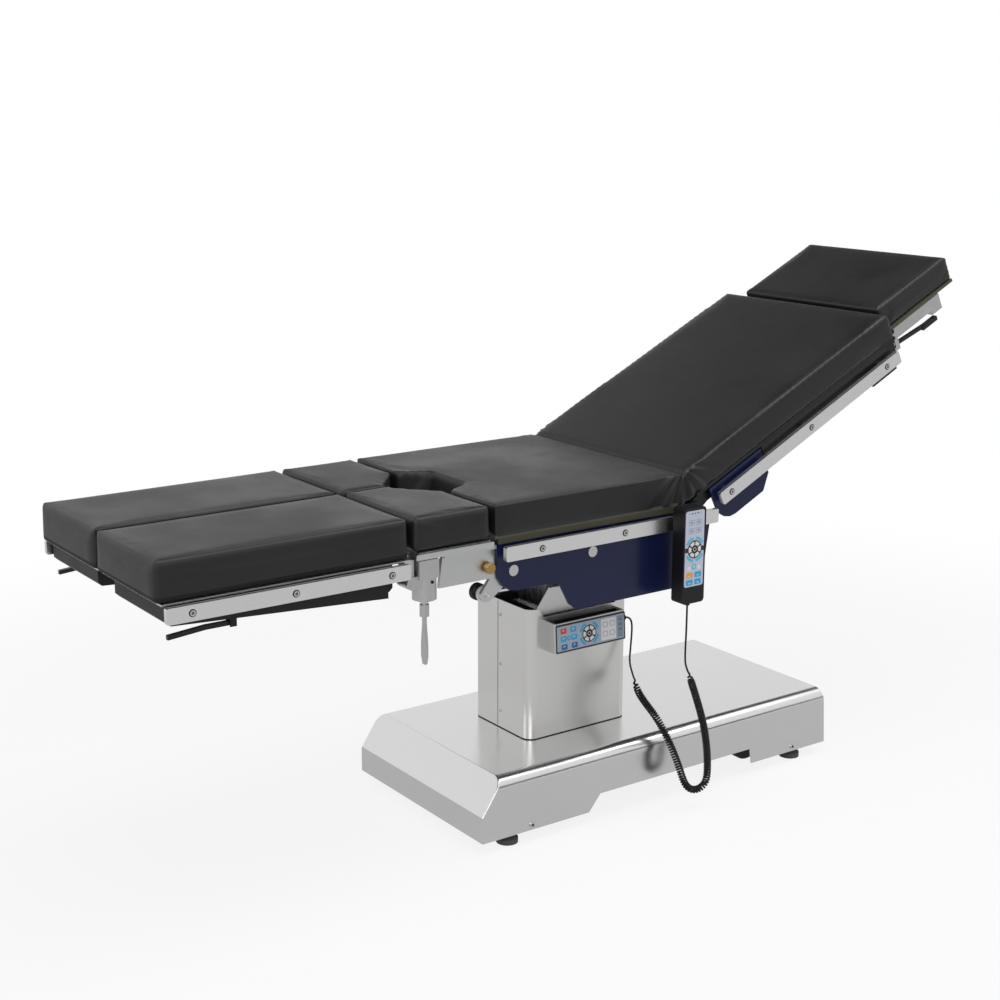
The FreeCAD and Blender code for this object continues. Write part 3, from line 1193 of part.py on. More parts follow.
def hip_in_back():
    """The hip axis in the flat drawing of the back."""
    run = "(sizes.hip_x - sizes.back_x)"
    rise = "(sizes.hip_z - sizes.table_top)"
    turn = FreeCAD.Rotation(FreeCAD.Vector(0, -1, 0), -S.back_raise.value)
    spot = turn.multVec(FreeCAD.Vector(S.hip_x.value - S.back_x.value, 0,
                                       S.hip_z.value - S.table_top.value))
    cosine, sine = "cos(sizes.back_raise)", "sin(sizes.back_raise)"
    s = Size(spot.x, "(%s * %s + %s * %s)" % (run, cosine, rise, sine))
    n = Size(spot.z, "(%s * %s - %s * %s)" % (rise, cosine, run, sine))
    return s, n


def make_head():
    top = -S.head_step
    low = top - S.pad_thick + 1
    start = S.head_start
    end = start + S.head_length
    pad_body = new_body("head_pad")
    pad(pad_body, "head_pad_slab", "XY_Plane", (top + low) / 2, top - low,
        rectangle(start, -S.head_half, end, S.head_half))
    soften(pad_body, "head_pad_corners", S.pad_round, lambda edge: runs_along(edge, Z_AXIS))
    keep("head_cushion", lean(pad_body))
    board_low = low - S.board_thick
    board = box("head_board_slab", (start + S.board_in, S.board_in - S.head_half, board_low),
                (end - S.board_in, S.head_half - S.board_in, low))
    keep("head_board", lean(group("head_board_piece", [board])))
    pieces = []
    for word, side in SIDES.items():
        y = side * S.bar_y
        half = S.bar_width / 2
        pieces.append(box("bar_" + word, (S.bar_start, y - half, -S.bar_low),
                          (S.bar_end, y + half, -S.bar_top)))
        pieces.append(box("bar_end_" + word, (S.end_start, y - half, -S.end_low),
                          (S.bar_end, y + half, -S.bar_top)))
        pieces.append(box("bar_knee_" + word, (S.bar_start, y - half, -S.neck_depth - S.knee_over),
                          (S.neck_along + S.knee_over, y + half, -S.bar_low)))
        pieces.append(box("bar_post_" + word, (start + S.bar_post_start, y - half, -S.bar_top),
                          (end - S.bar_post_end, y + half, board_low)))
        pin_half = half + S.neck_ear_gap + S.neck_ear
        pieces.append(rod("neck_pin_" + word, "Y", S.neck_pin, (S.neck_along, y - pin_half, -S.neck_depth),
                          2 * pin_half))
    for tag, s in (("low", S.head_cross_low), ("top", S.head_cross_top)):
        pieces.append(box("head_cross_" + tag, (s, -S.bar_y, -S.bar_low),
                          (s + S.head_cross_wide, S.bar_y, -S.bar_top)))
    y = -S.bar_y
    pivot = S.clevis_along
    for tag, way in (("in", -1), ("out", 1)):
        middle = y + way * S.clevis_half
        pieces.append(box("clevis_" + tag,
                          (pivot - S.clevis_wide / 2, middle - S.clevis_thick / 2, -S.clevis_low),
                          (pivot + S.clevis_wide / 2, middle + S.clevis_thick / 2, -S.bar_low)))
    clevis_pin = S.head_lever_radius / 2
    pin_half = S.clevis_half + S.clevis_thick / 2
    pieces.append(rod("clevis_pin", "Y", clevis_pin, (pivot, y - pin_half, -S.head_lever_depth),
                      2 * pin_half))
    keep("head_frame", lean(fuse("head_weld", pieces)))
    hub = rod("head_lever_hub", "Y", S.head_lever_radius * 1.5,
              (pivot, y - S.head_lever_hub / 2, -S.head_lever_depth), S.head_lever_hub)
    body = new_body("head_lever_bar")
    wide = S.head_lever_radius
    pad(body, "head_lever_profile", "XZ_Plane", y, 2 * wide,
        [(pivot, wide - S.head_lever_depth), (S.head_lever_end, wide - S.head_lever_drop),
         (S.head_lever_end, -wide - S.head_lever_drop), (pivot, -wide - S.head_lever_depth)])
    grip_end = S.head_lever_end + S.head_grip / 2
    grip = box("head_lever_grip", (S.head_grip_start, y - S.head_grip, -S.head_lever_drop - wide),
               (grip_end, y + S.head_grip, S.head_grip - S.head_lever_drop))
    hole = rod("head_lever_hole", "Y", clevis_pin + S.running_gap,
               (pivot, y - S.bore_over, -S.head_lever_depth), 2 * S.bore_over)
    keep("head_lever", lean(cut("head_lever_whole", fuse("head_lever_weld", [hub, body, grip]),
                                [hole])))


def make_table():
    make_base_cover()
    make_base_frame()
    make_feet()
    make_cover_screws()
    for word, side in SIDES.items():
        for end, sign in (("foot", -1), ("head", 1)):
            make_caster(end, sign, word, side)
    make_column_shroud()
    make_column_post()
    make_lift_ram()
    make_inner_shroud()
    make_tilt_cross()
    make_panel()
    make_handset()
    make_cords()
    make_seat_cushion()
    make_seat_frame()
    make_seat_rails()
    make_pivot_pins()
    make_leg_bracket()
    make_pelvic_cushions()
    make_rollers()
    make_actuator()
    for word, side in SIDES.items():
        make_lock_plunger(word, side)
        make_knuckle(word, side)
        make_clamp_handle(word, side)
        make_leg(word, side)
    make_back()
    make_head()


def check_and_write():
    """Stop on any failed object, then write each part to its file."""
    doc.recompute()
    for thing in doc.Objects:
        if "Invalid" in thing.State or "Error" in thing.State:
            raise RuntimeError("failed object: " + thing.Name)
    for node, piece in NODES:
        if piece.Shape.isNull() or not piece.Shape.isValid():
            raise RuntimeError("bad shape: " + node)
    os.makedirs("parts", exist_ok=True)
    for node, piece in NODES:
        piece.Shape.exportStep("parts/%s.step" % node)
    print(len(NODES), "parts written")


make_table()
check_and_write()
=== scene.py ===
# %% [markdown]
# # An operating table, dressed around its CAD frame
# The CAD model gives every piece its size, its place and its motion. This lesson adds what the eye
# reads: brushed steel, navy paint, soft black pads, printed key panels and a curly cord. Each step
# says what the real thing is like, how it could be made in Blender, and why this way was chosen.

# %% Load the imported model
import math

import bmesh
import bpy
import numpy as np
from mathutils import Matrix, Vector


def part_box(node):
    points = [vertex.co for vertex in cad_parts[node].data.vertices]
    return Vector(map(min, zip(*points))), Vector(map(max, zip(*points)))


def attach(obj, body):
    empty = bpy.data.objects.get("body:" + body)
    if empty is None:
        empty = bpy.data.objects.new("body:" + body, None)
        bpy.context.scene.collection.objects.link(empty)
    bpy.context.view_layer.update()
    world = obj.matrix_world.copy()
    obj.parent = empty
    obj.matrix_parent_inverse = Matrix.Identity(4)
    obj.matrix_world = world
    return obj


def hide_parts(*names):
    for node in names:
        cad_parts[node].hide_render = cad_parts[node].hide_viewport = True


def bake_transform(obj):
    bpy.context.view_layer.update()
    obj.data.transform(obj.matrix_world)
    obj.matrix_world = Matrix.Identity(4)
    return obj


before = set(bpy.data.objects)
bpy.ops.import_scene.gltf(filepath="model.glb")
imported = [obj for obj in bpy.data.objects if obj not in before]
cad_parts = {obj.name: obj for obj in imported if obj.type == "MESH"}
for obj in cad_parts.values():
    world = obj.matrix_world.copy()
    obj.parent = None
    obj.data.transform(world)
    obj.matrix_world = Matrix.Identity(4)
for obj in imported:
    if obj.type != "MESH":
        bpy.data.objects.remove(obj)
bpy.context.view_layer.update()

MM = 0.001

# %% [markdown]
# ## Camera
# The photograph was taken from the foot end on the control side, a little above the table top. The
# lens and place below were solved from straight edges in the photograph, so pieces line up with it.

# %% Camera
CAMERA_SPOT = Vector((-2.24508, -2.76746, 1.47464))
CAMERA_YAW = math.radians(54.521)
CAMERA_PITCH = math.radians(-13.589)
CAMERA_ROLL = math.radians(0.142)
CAMERA_LENS = 60.79


def make_camera():
    """A camera that looks along the yaw and pitch of the photograph."""
    data = bpy.data.cameras.new("photo_camera")
    data.lens = CAMERA_LENS
    data.sensor_width = 36
    camera = bpy.data.objects.new("photo_camera", data)
    bpy.context.collection.objects.link(camera)
    ahead = Vector((math.cos(CAMERA_YAW) * math.cos(CAMERA_PITCH),
                    math.sin(CAMERA_YAW) * math.cos(CAMERA_PITCH), math.sin(CAMERA_PITCH)))
    right = Vector((math.sin(CAMERA_YAW), -math.cos(CAMERA_YAW), 0))
    up = right.cross(ahead)
    tilted_right = math.cos(CAMERA_ROLL) * right + math.sin(CAMERA_ROLL) * up
    tilted_up = math.cos(CAMERA_ROLL) * up - math.sin(CAMERA_ROLL) * right
    turn = Matrix((tilted_right, tilted_up, -ahead)).transposed()
    camera.matrix_world = Matrix.Translation(CAMERA_SPOT) @ turn.to_4x4()
    bpy.context.scene.camera = camera
    return camera


print("camera at", [round(v, 2) for v in make_camera().matrix_world.translation], "with lens",
      CAMERA_LENS)

# %% [markdown]
# ## Shader maths as plain Python
# A material is a graph of nodes. Writing each Math node by hand hides the idea, so a small class
# wraps an output socket and turns + - * / into Math nodes. A second class starts a material and
# makes every other node through one method.

# %% Shader helpers
def add_node(tree, kind, settings=None, sockets=None):
    """The one way that a node is made: its type, its settings first, then values and links."""
    made = tree.nodes.new(kind)
    for key, value in (settings or {}).items():
        setattr(made, key, value)
    for key, value in (sockets or {}).items():
        feed(tree, made.inputs[key], value)
    return made


def feed(tree, socket, value):
    if isinstance(value, Wire):
        value = value.socket
    if hasattr(value, "is_output"):
        tree.links.new(value, socket)
    else:
        socket.default_value = value


class Wire:
    """An output socket of a material graph that can be used in sums."""

    def __init__(self, finish, socket):
        self.finish = finish
        self.socket = socket

    def _math(self, operation, *values):
        return self.finish.node("ShaderNodeMath", {"operation": operation}, dict(enumerate(values)))

    def __add__(self, other):
        return self._math("ADD", self, other)

    def __radd__(self, other):
        return self._math("ADD", other, self)

    def __sub__(self, other):
        return self._math("SUBTRACT", self, other)

    def __rsub__(self, other):
        return self._math("SUBTRACT", other, self)

    def __mul__(self, other):
        return self._math("MULTIPLY", self, other)

    def __rmul__(self, other):
        return self._math("MULTIPLY", other, self)

    def ramp(self, low, high, out_low=0.0, out_high=1.0):
        """The value mapped smoothly from one range to another and held at its ends."""
        return self.finish.node("ShaderNodeMapRange", {"interpolation_type": "SMOOTHSTEP"},
                                {"Value": self, "From Min": low, "From Max": high,
                                 "To Min": out_low, "To Max": out_high})


# %% [markdown]
# ### A material under construction
# The object below owns one material and its shader. A plain value goes straight onto a socket, and
# a wire is linked to it, so a finish reads as a short list of what varies and how.

# %% One finish
class Finish:
    """A material under construction: one shader, and one method for every other node."""

    def __init__(self, name, color, roughness, metallic=0.0, coat=0.0, **fixed):
        self.material = bpy.data.materials.new(name)
        self.material.use_nodes = True
        self.tree = self.material.node_tree
        self.shader = self.tree.nodes["Principled BSDF"]
        self.set("Base Color", (*color, 1))
        self.set("Roughness", roughness)
        self.set("Metallic", metallic)
        self.set("Coat Weight", coat)
        for socket, value in fixed.items():
            self.set(socket.replace("_", " "), value)

    def node(self, kind, settings=None, sockets=None, output=0):
        return Wire(self, add_node(self.tree, kind, settings, sockets).outputs[output])

    def set(self, socket, value):
        feed(self.tree, self.shader.inputs[socket], value)
        return self

    def place(self, scale=(1, 1, 1), turn=(0, 0, 0)):
        """Object coordinates, stretched to the scale of a pattern."""
        spot = self.node("ShaderNodeTexCoord", output="Object")
        return self.node("ShaderNodeMapping", {},
                         {"Vector": spot, "Scale": scale, "Rotation": turn})

    def noise(self, scale, detail=3.0, stretch=(1, 1, 1), roughness=0.5):
        return self.node("ShaderNodeTexNoise", {},
                         {"Vector": self.place(stretch), "Scale": scale, "Detail": detail,
                          "Roughness": roughness}, output="Fac")

    def blend(self, low, high, factor):
        """A colour between two others."""
        mixed = self.node("ShaderNodeMix", {"data_type": "RGBA"}, {"Factor": factor})
        made = mixed.socket.node
        for slot, colour in (("A_Color", low), ("B_Color", high)):
            socket = [s for s in made.inputs if s.identifier == slot][0]
            feed(self.tree, socket, colour if isinstance(colour, Wire) else (*colour, 1))
        return Wire(self, [s for s in made.outputs if s.identifier == "Result_Color"][0])

    def bump(self, height, strength, distance):
        bumped = self.node("ShaderNodeBump", {}, {"Height": height, "Strength": strength,
                                                  "Distance": distance})
        self.set("Normal", bumped)
        return self


FINISHES = {}


def finish(name, *values, **fixed):
    made = Finish(name, *values, **fixed)
    FINISHES[name] = made.material
    return made


print("shader helpers ready")

# %% [markdown]
# ## Pad cover
# The pads wear a smooth black coated cloth. Up close it has a grain of small rounded cells, about a
# millimetre across, and broad faint patches where hands and cleaning have changed its sheen. A
# Voronoi texture gives the cells and two noises give the patches. The colour stays near black.

# %% Pad cover
PAD_DARK, PAD_PALE = (0.008, 0.008, 0.0085), (0.012, 0.012, 0.013)
CELL_SCALE, PATCH_SCALE, FINE_SCALE = 900.0, 5.0, 60.0
PAD_SHEEN = (0.38, 0.5)
GRAIN_DEPTH = 0.0006


def leather(name):
    """A pad cover with its grain, and the wires of its tone, its roughness and its fine noise."""
    made = finish(name, PAD_DARK, 0.4, Specular_IOR_Level=0.42)
    cells = made.node("ShaderNodeTexVoronoi", {"feature": "F1"},
                      {"Vector": made.place(), "Scale": CELL_SCALE}, output="Distance")
    patches = made.noise(PATCH_SCALE, 3.0)
    fine = made.noise(FINE_SCALE, 4.0)
    made.bump(cells * 0.5 + fine * 0.5, 0.25, GRAIN_DEPTH)
    return made, made.blend(PAD_DARK, PAD_PALE, patches), patches.ramp(0.3, 0.7, *PAD_SHEEN), fine


cover, cover_tone, cover_sheen, cover_fine = leather("pad_cover")
cover.set("Base Color", cover_tone)
cover.set("Roughness", cover_sheen + (cover_fine - 0.5) * 0.06)
print("pad cover made with cells", round(1000 / CELL_SCALE, 1), "mm across")

# %% [markdown]
# ## Brushed and satin metals
# The covers are stainless sheet brushed in one direction. The marks are long and thin, so the noise
# is squeezed across the brushing and stretched along it. It feeds both the roughness and a very
# small bump. Castings and rails get their own scale and direction.

# %% Metals
def brushed(name, color, roughness, stretch, spread=0.12, depth=0.00006):
    """A metal with marks that run where the stretch is small."""
    made = finish(name, color, roughness, 1.0)
    marks = made.noise(1.0, 6.0, stretch, 0.65)
    broad = made.noise(3.0, 2.0)
    made.set("Roughness", marks.ramp(0.25, 0.75, roughness - spread / 2, roughness + spread / 2))
    light = tuple(min(1.0, c * 1.03) for c in color)
    dark = tuple(c * 0.95 for c in color)
    made.set("Base Color", made.blend(dark, light, marks * 0.7 + broad * 0.3))
    made.bump(marks, 0.5, depth)
    return made


brushed("cover_steel", (0.67, 0.67, 0.67), 0.22, (6, 600, 600), 0.08, 0.00003)
brushed("column_steel", (0.72, 0.715, 0.705), 0.3, (300, 300, 5), 0.05, 0.00002)
brushed("inner_steel", (0.62, 0.62, 0.63), 0.3, (300, 300, 5), 0.05, 0.00002)
brushed("rail_steel", (0.78, 0.78, 0.785), 0.3, (14, 500, 500), 0.08, 0.00003)
brushed("bracket_steel", (0.6, 0.605, 0.61), 0.38, (20, 500, 500), 0.08, 0.00003)
brushed("machined_steel", (0.5, 0.5, 0.52), 0.28, (300, 300, 30))
brushed("screw_steel", (0.6, 0.6, 0.61), 0.28, (400, 400, 400))
brushed("chrome_rod", (0.82, 0.82, 0.84), 0.1, (40, 900, 900), 0.04, 0.00001)
brushed("knurled_brass", (0.45, 0.29, 0.11), 0.3, (300, 300, 300))
brushed("zinc_fork", (0.4, 0.4, 0.42), 0.4, (80, 80, 80))


def casting(name, color, roughness):
    """Blasted cast metal: an even, fine pitted surface."""
    made = finish(name, color, roughness, 1.0)
    pits = made.noise(900.0, 2.0)
    tone = made.noise(25.0, 3.0)
    made.set("Base Color", made.blend(tuple(c * 0.85 for c in color), color, tone))
    made.set("Roughness", tone.ramp(0.3, 0.7, roughness - 0.05, roughness + 0.07))
    made.bump(pits, 0.35, 0.0002)
    return made


casting("cast_silver", (0.58, 0.58, 0.585), 0.38)
print(len(FINISHES), "finishes with the metals")

# %% [markdown]
# ## Paints and plastics
# Painted plates show a faint orange peel under their gloss, moulded black parts a fine spark
# texture. Both are one noise in the bump and a second, broad one in the roughness.

# %% Paints and plastics
def painted(name, color, roughness, coat=0.0, peel=120.0, depth=0.0002, metallic=0.0):
    made = finish(name, color, roughness, metallic, coat, Specular_IOR_Level=0.3)
    skin = made.noise(peel, 3.0)
    broad = made.noise(7.0, 3.0)
    made.set("Base Color", made.blend(tuple(c * 0.85 for c in color),
                                      tuple(c * 1.12 for c in color), broad))
    made.set("Roughness", broad.ramp(0.3, 0.7, roughness - 0.04, roughness + 0.06))
    made.bump(skin, 0.3, depth)
    return made


painted("navy_paint", (0.009, 0.014, 0.06), 0.24, 0.02)
painted("black_paint", (0.012, 0.012, 0.013), 0.35, 0.05)
painted("frame_paint", (0.05, 0.05, 0.055), 0.5)
painted("black_case", (0.008, 0.008, 0.009), 0.36, 0.0, 1500.0, 0.0001)
painted("black_tray", (0.012, 0.012, 0.013), 0.45, 0.0, 900.0, 0.0002)
painted("black_rubber", (0.012, 0.012, 0.012), 0.7, 0.0, 700.0)
painted("foot_rubber", (0.11, 0.1, 0.095), 0.6, 0.0, 500.0)
painted("olive_board", (0.09, 0.085, 0.06), 0.5, 0.0, 300.0)
painted("cord_sheath", (0.01, 0.01, 0.011), 0.4, 0.0, 800.0, 0.0001)
painted("tyre_rubber", (0.02, 0.017, 0.017), 0.55, 0.0, 500.0)
painted("wheel_core", (0.16, 0.02, 0.018), 0.4)
print(len(FINISHES), "finishes")

# %% [markdown]
# ## Masks by place
# Some pieces wear two finishes: the panel housing is bright metal with a black front and black
# painted shade on its top, and the leg pads have a blacker band at their foot. The CAD meshes stay
# as they are, so the border between the finishes is worked out in the material from Object
# coordinates.

# %% Two-tone finishes
def step_at(value, edge, width=0.0004):
    """0 below an edge and 1 above it."""
    return value.ramp(edge - width / 2, edge + width / 2)


def axes_of(made):
    """The three Object coordinates as wires."""
    spot = made.node("ShaderNodeTexCoord", output="Object")
    split = made.node("ShaderNodeSeparateXYZ", {}, {"Vector": spot})
    return [Wire(made, split.socket.node.outputs[n]) for n in range(3)]


PANEL_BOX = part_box("panel_housing")
PANEL_EDGE = 0.0022
PANEL_FRONT, PANEL_TOP_SHADE, PANEL_WALL = 0.0045, 0.0068, 0.0055
CASE_BLACK = (0.008, 0.008, 0.009)


def panel_finish():
    """Bright housing; black inside a narrow rim on the front, and black painted shade inside the rim
    on the top.
    """
    made = brushed("panel_case", (0.62, 0.62, 0.625), 0.3, (10, 300, 300), 0.06, 0.00002)
    x, y, z = axes_of(made)
    low, high = PANEL_BOX
    inside = step_at(x, low[0] + PANEL_EDGE) * step_at(high[0] - PANEL_EDGE - x, 0)
    upright_part = step_at(z, low[2] + PANEL_EDGE) * step_at(high[2] - PANEL_EDGE - z, 0)
    front = step_at(low[1] + PANEL_FRONT - y, 0) * upright_part
    # The top mask is painted shade: inside the rim the top turns black, dull and not metal.
    top = step_at(z, high[2] - PANEL_TOP_SHADE) * step_at(y, low[1] + PANEL_WALL)
    black = inside * (front + top)
    steel = made.shader.inputs["Base Color"].links[0].from_socket
    made.set("Base Color", made.blend(Wire(made, steel), CASE_BLACK, black))
    made.set("Metallic", 1.0 - black)
    made.set("Roughness", 0.32 + black * 0.1)


def roller_finish():
    """Black rollers with the white spacer next to the outer arm."""
    made = painted("roller_black", (0.014, 0.014, 0.014), 0.4)
    y = axes_of(made)[1]
    white = step_at(y * y, ROLLER_EDGE * ROLLER_EDGE, 0.0001)
    dark = made.shader.inputs["Base Color"].links[0].from_socket
    made.set("Base Color", made.blend(Wire(made, dark), (0.72, 0.72, 0.7), white))


def leg_pad_finish():
    """The pad cover, near black and rougher in a band along the lowest part of the pad."""
    made, tone, sheen, _ = leather("leg_pad_cover")
    z = axes_of(made)[2]
    band = 1.0 - step_at(z, PAD_BAND_TOP, 0.001)
    made.set("Base Color", made.blend(tone, (0.003, 0.003, 0.003), band))
    made.set("Roughness", sheen + band * 0.3)


ROLLER_EDGE = 0.228
PAD_BAND_TOP = 0.6575
panel_finish()
roller_finish()
leg_pad_finish()
print("two-tone finishes made, with the panel from", [round(v, 3) for v in PANEL_BOX[0]])

# %% [markdown]
# ## Finishes on the CAD pieces
# A rigid CAD piece whose shape is right stays, and only its material changes.

# %% Dress the CAD nodes
CASTERS = [(end, side) for end in ("foot", "head") for side in ("near", "far")]
NODE_FINISH = {
    "cover_steel": ["base_cover"],
    "column_steel": ["column_shroud"],
    "inner_steel": ["inner_shroud"],
    "frame_paint": ["base_frame"],
    "foot_rubber": ["feet"],
    "screw_steel": ["cover_screws", "pivot_pins"],
    "black_rubber": ["shroud_seal"],
    "machined_steel": ["column_post", "lift_ram", "tilt_cross"],
    "panel_case": ["panel_housing"],
    "black_case": ["handset"],
    "cord_sheath": ["cord_gland", "cord_lead_panel", "cord_coil", "cord_lead_handset"],
    "navy_paint": ["seat_frame", "back_plates"],
    "olive_board": ["seat_board", "head_board"],
    "rail_steel": ["seat_rails", "back_rails", "leg_rail_near", "leg_rail_far"],
    "black_paint": ["back_frame", "actuator_barrel", "release_lever_near", "release_lever_far",
                    "head_lever"],
    "cast_silver": ["head_frame", "knuckle_near", "knuckle_far", "clamp_handle_near",
                    "clamp_handle_far"],
    "bracket_steel": ["leg_bracket", "leg_frame_near", "leg_frame_far"],
    "roller_black": ["link_rollers"],
    "chrome_rod": ["actuator_rod"],
    "black_tray": ["leg_cover_near", "leg_cover_far", "back_board"],
    "knurled_brass": ["lock_plunger_near", "lock_plunger_far"],
    "zinc_fork": ["caster_fork_%s_%s" % corner for corner in CASTERS],
    "tyre_rubber": ["caster_wheel_%s_%s" % corner for corner in CASTERS],
    "pad_cover": ["seat_cushion", "back_cushion", "head_cushion", "pelvic_cushion_near",
                  "pelvic_cushion_far", "leg_cushion_near", "leg_cushion_far"],
}


def dress(node, material):
    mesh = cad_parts[node].data
    mesh.materials.clear()
    mesh.materials.append(FINISHES[material])


for material_name, nodes in NODE_FINISH.items():
    for node in nodes:
        dress(node, material_name)
missing = set(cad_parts) - {n for nodes in NODE_FINISH.values() for n in nodes}
print("nodes left bare", sorted(missing))

# %% [markdown]
# ## Mesh helpers
# A finished piece sits at the origin with its place in its mesh. These helpers make an object from
# points and faces or from a bmesh, and hand it to the CAD body that carries it.

# %% Mesh helpers
def new_piece(name, mesh, material, body):
    """Link a mesh as a piece that rides on a CAD body, or on none yet."""
    mesh.materials.clear()
    mesh.materials.append(FINISHES[material])
    piece = bpy.data.objects.new(name, mesh)
    bpy.context.collection.objects.link(piece)
    if body:
        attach(piece, body)
    return piece


def mesh_from(name, bm, smooth=True):
    mesh = bpy.data.meshes.new(name)
    bm.to_mesh(mesh)
    bm.free()
    mesh.polygons.foreach_set("use_smooth", [smooth] * len(mesh.polygons))
    return mesh


def prism(outline, low, high, lift):
    """A closed prism between two heights; lift turns (a, b, height) into a point."""
    bm = bmesh.new()
    rings = [[bm.verts.new(lift(a, b, h)) for a, b in outline] for h in (low, high)]
    count = len(outline)
    for here in range(count):
        there = (here + 1) % count
        bm.faces.new((rings[0][here], rings[0][there], rings[1][there], rings[1][here]))
    bm.faces.new(list(reversed(rings[0])))
    bm.faces.new(rings[1])
    bmesh.ops.recalc_face_normals(bm, faces=bm.faces)
    return bm


def upright(x, y, z):
    return Vector((x, y, z)) * MM


def across(x, z, y):
    return Vector((x, y, z)) * MM


# %% [markdown]
# ## Soft pads
# Each pad is a foam block in a sewn cover. The cover swells a little between its seams and rounds
# over at its edges. The block is remeshed into small faces, Blender's cloth blows it up for a few
# frames, no point may move further than a cap, and the result is applied. That gives the uneven,
# gently crowned faces that a bevelled box lacks.

# %% Pad recipe
VOXEL = 0.006
SWELL = 0.0015
CLOTH_FRAMES = 14
CLOTH_PRESSURE = 4


def apply_modifiers(piece):
    graph = bpy.context.evaluated_depsgraph_get()
    mesh = bpy.data.meshes.new_from_object(piece.evaluated_get(graph))
    piece.modifiers.clear()
    piece.data = mesh
    return piece


def remeshed(piece, voxel=VOXEL):
    remesh = piece.modifiers.new("remesh", "REMESH")
    remesh.mode = "VOXEL"
    remesh.voxel_size = voxel
    smooth = piece.modifiers.new("ease", "SMOOTH")
    smooth.factor = 0.5
    smooth.iterations = 1
    return apply_modifiers(piece)


def points_of(mesh):
    spots = np.empty(len(mesh.vertices) * 3)
    mesh.vertices.foreach_get("co", spots)
    return spots.reshape(-1, 3)


def set_points(mesh, spots):
    mesh.vertices.foreach_set("co", spots.ravel())
    mesh.update()


def inflate(piece, cap=SWELL):
    """Blow the cover up with cloth, hold its base still and cap how far it moves."""
    start = points_of(piece.data).copy()
    base = piece.vertex_groups.new(name="held")
    floor = start[:, 2].min() + VOXEL
    held = [int(n) for n in np.nonzero(start[:, 2] < floor)[0]]
    base.add(held, 1.0, "REPLACE")
    cloth = piece.modifiers.new("cloth", "CLOTH")
    cloth.settings.use_pressure = True
    cloth.settings.uniform_pressure_force = CLOTH_PRESSURE
    cloth.settings.quality = 4
    cloth.settings.effector_weights.gravity = 0
    cloth.settings.vertex_group_mass = "held"
    cloth.point_cache.frame_end = CLOTH_FRAMES
    for step in range(1, CLOTH_FRAMES + 1):
        bpy.context.scene.frame_set(step)
    apply_modifiers(piece)
    moved = points_of(piece.data) - start
    length = np.linalg.norm(moved, axis=1, keepdims=True)
    moved *= np.minimum(1.0, cap / np.maximum(length, 1e-9))
    set_points(piece.data, start + moved)
    bpy.context.scene.frame_set(1)
    piece.vertex_groups.clear()
    return piece


# %% [markdown]
# ### One pad from its blocks
# The order matters: blocks are joined and remeshed, the cover is blown up, the mesh is made finer,
# and only then is a fold pressed in, because a remesh would swallow it.

# %% One pad
def pad_piece(name, bms, cap=SWELL, shape=None, voxel=VOXEL):
    """A pad from one or more closed blocks, swollen, shaped and smoothed."""
    joined = bmesh.new()
    for bm in bms:
        mesh = mesh_from(name + "_block", bm)
        joined.from_mesh(mesh)
    mesh = mesh_from(name, joined)
    piece = bpy.data.objects.new(name, mesh)
    bpy.context.collection.objects.link(piece)
    remeshed(piece, voxel)
    inflate(piece, cap)
    levels = piece.modifiers.new("finer", "SUBSURF")
    levels.levels = 1
    levels.render_levels = 1
    apply_modifiers(piece)
    if shape:
        set_points(piece.data, shape(points_of(piece.data)))
    piece.data.polygons.foreach_set("use_smooth", [True] * len(piece.data.polygons))
    piece.data.materials.clear()
    piece.data.materials.append(FINISHES["pad_cover"])
    print(name, len(piece.data.polygons), "faces")
    return piece


# %% [markdown]
# ## Seat and back in one cover
# The seat and back pads share one cover that folds at the hip. It is made as one mesh: a seat block
# with the cut-out, and a bent block that runs on up the back. After the cloth step a crease is
# pressed in across the hip.

# %% Seat and back cover
TABLE_TOP = 723
PAD_THICK = 68
PAD_HALF = 260
BACK_SLOPE = math.radians(26)
HIP = (2.8, 723)
BACK_LENGTH = 653
SEAT_FOOT = -469.5
CUT_WIDE, CUT_NARROW, CUT_DEEP = 95, 60, 61
INSET = 3.0
SEAT_END, BLOCK_START, BEND_FOOT = -200, -205, 14.8


def on_back(s, n):
    """A point of the flat back drawing, s up the slope and n out of it, as x and z."""
    return (HIP[0] + s * math.cos(BACK_SLOPE) - n * math.sin(BACK_SLOPE),
            HIP[1] + s * math.sin(BACK_SLOPE) + n * math.cos(BACK_SLOPE))


def seat_block():
    edge = PAD_HALF - INSET
    foot = SEAT_FOOT + INSET
    deep = SEAT_FOOT + CUT_DEEP + INSET
    plan = [(foot, -edge), (SEAT_END, -edge), (SEAT_END, edge), (foot, edge),
            (foot, CUT_WIDE + INSET), (deep, CUT_NARROW + INSET), (deep, -CUT_NARROW - INSET),
            (foot, -CUT_WIDE - INSET)]
    return prism(plan, TABLE_TOP - PAD_THICK + 1, TABLE_TOP - INSET, upright)


def bent_block():
    low = TABLE_TOP - PAD_THICK + 1
    side = [(BLOCK_START, low), (BEND_FOOT, low), on_back(BACK_LENGTH - INSET, -PAD_THICK + 1),
            on_back(BACK_LENGTH - INSET, -INSET), (HIP[0], TABLE_TOP - INSET),
            (BLOCK_START, TABLE_TOP - INSET)]
    return prism(side, -PAD_HALF + INSET, PAD_HALF - INSET, across)


CREASE_DEPTH = 0.014
CREASE_WIDTH = 0.005
PUCKER = 0.0035
FOLD_BELOW, FOLD_FADE = 31, 0.03
PUCKER_FROM, PUCKER_FADE, PUCKER_REACH = 0.245, 0.01, 0.07
PUCKER_EYE, PUCKER_WAVES = 0.735, 14


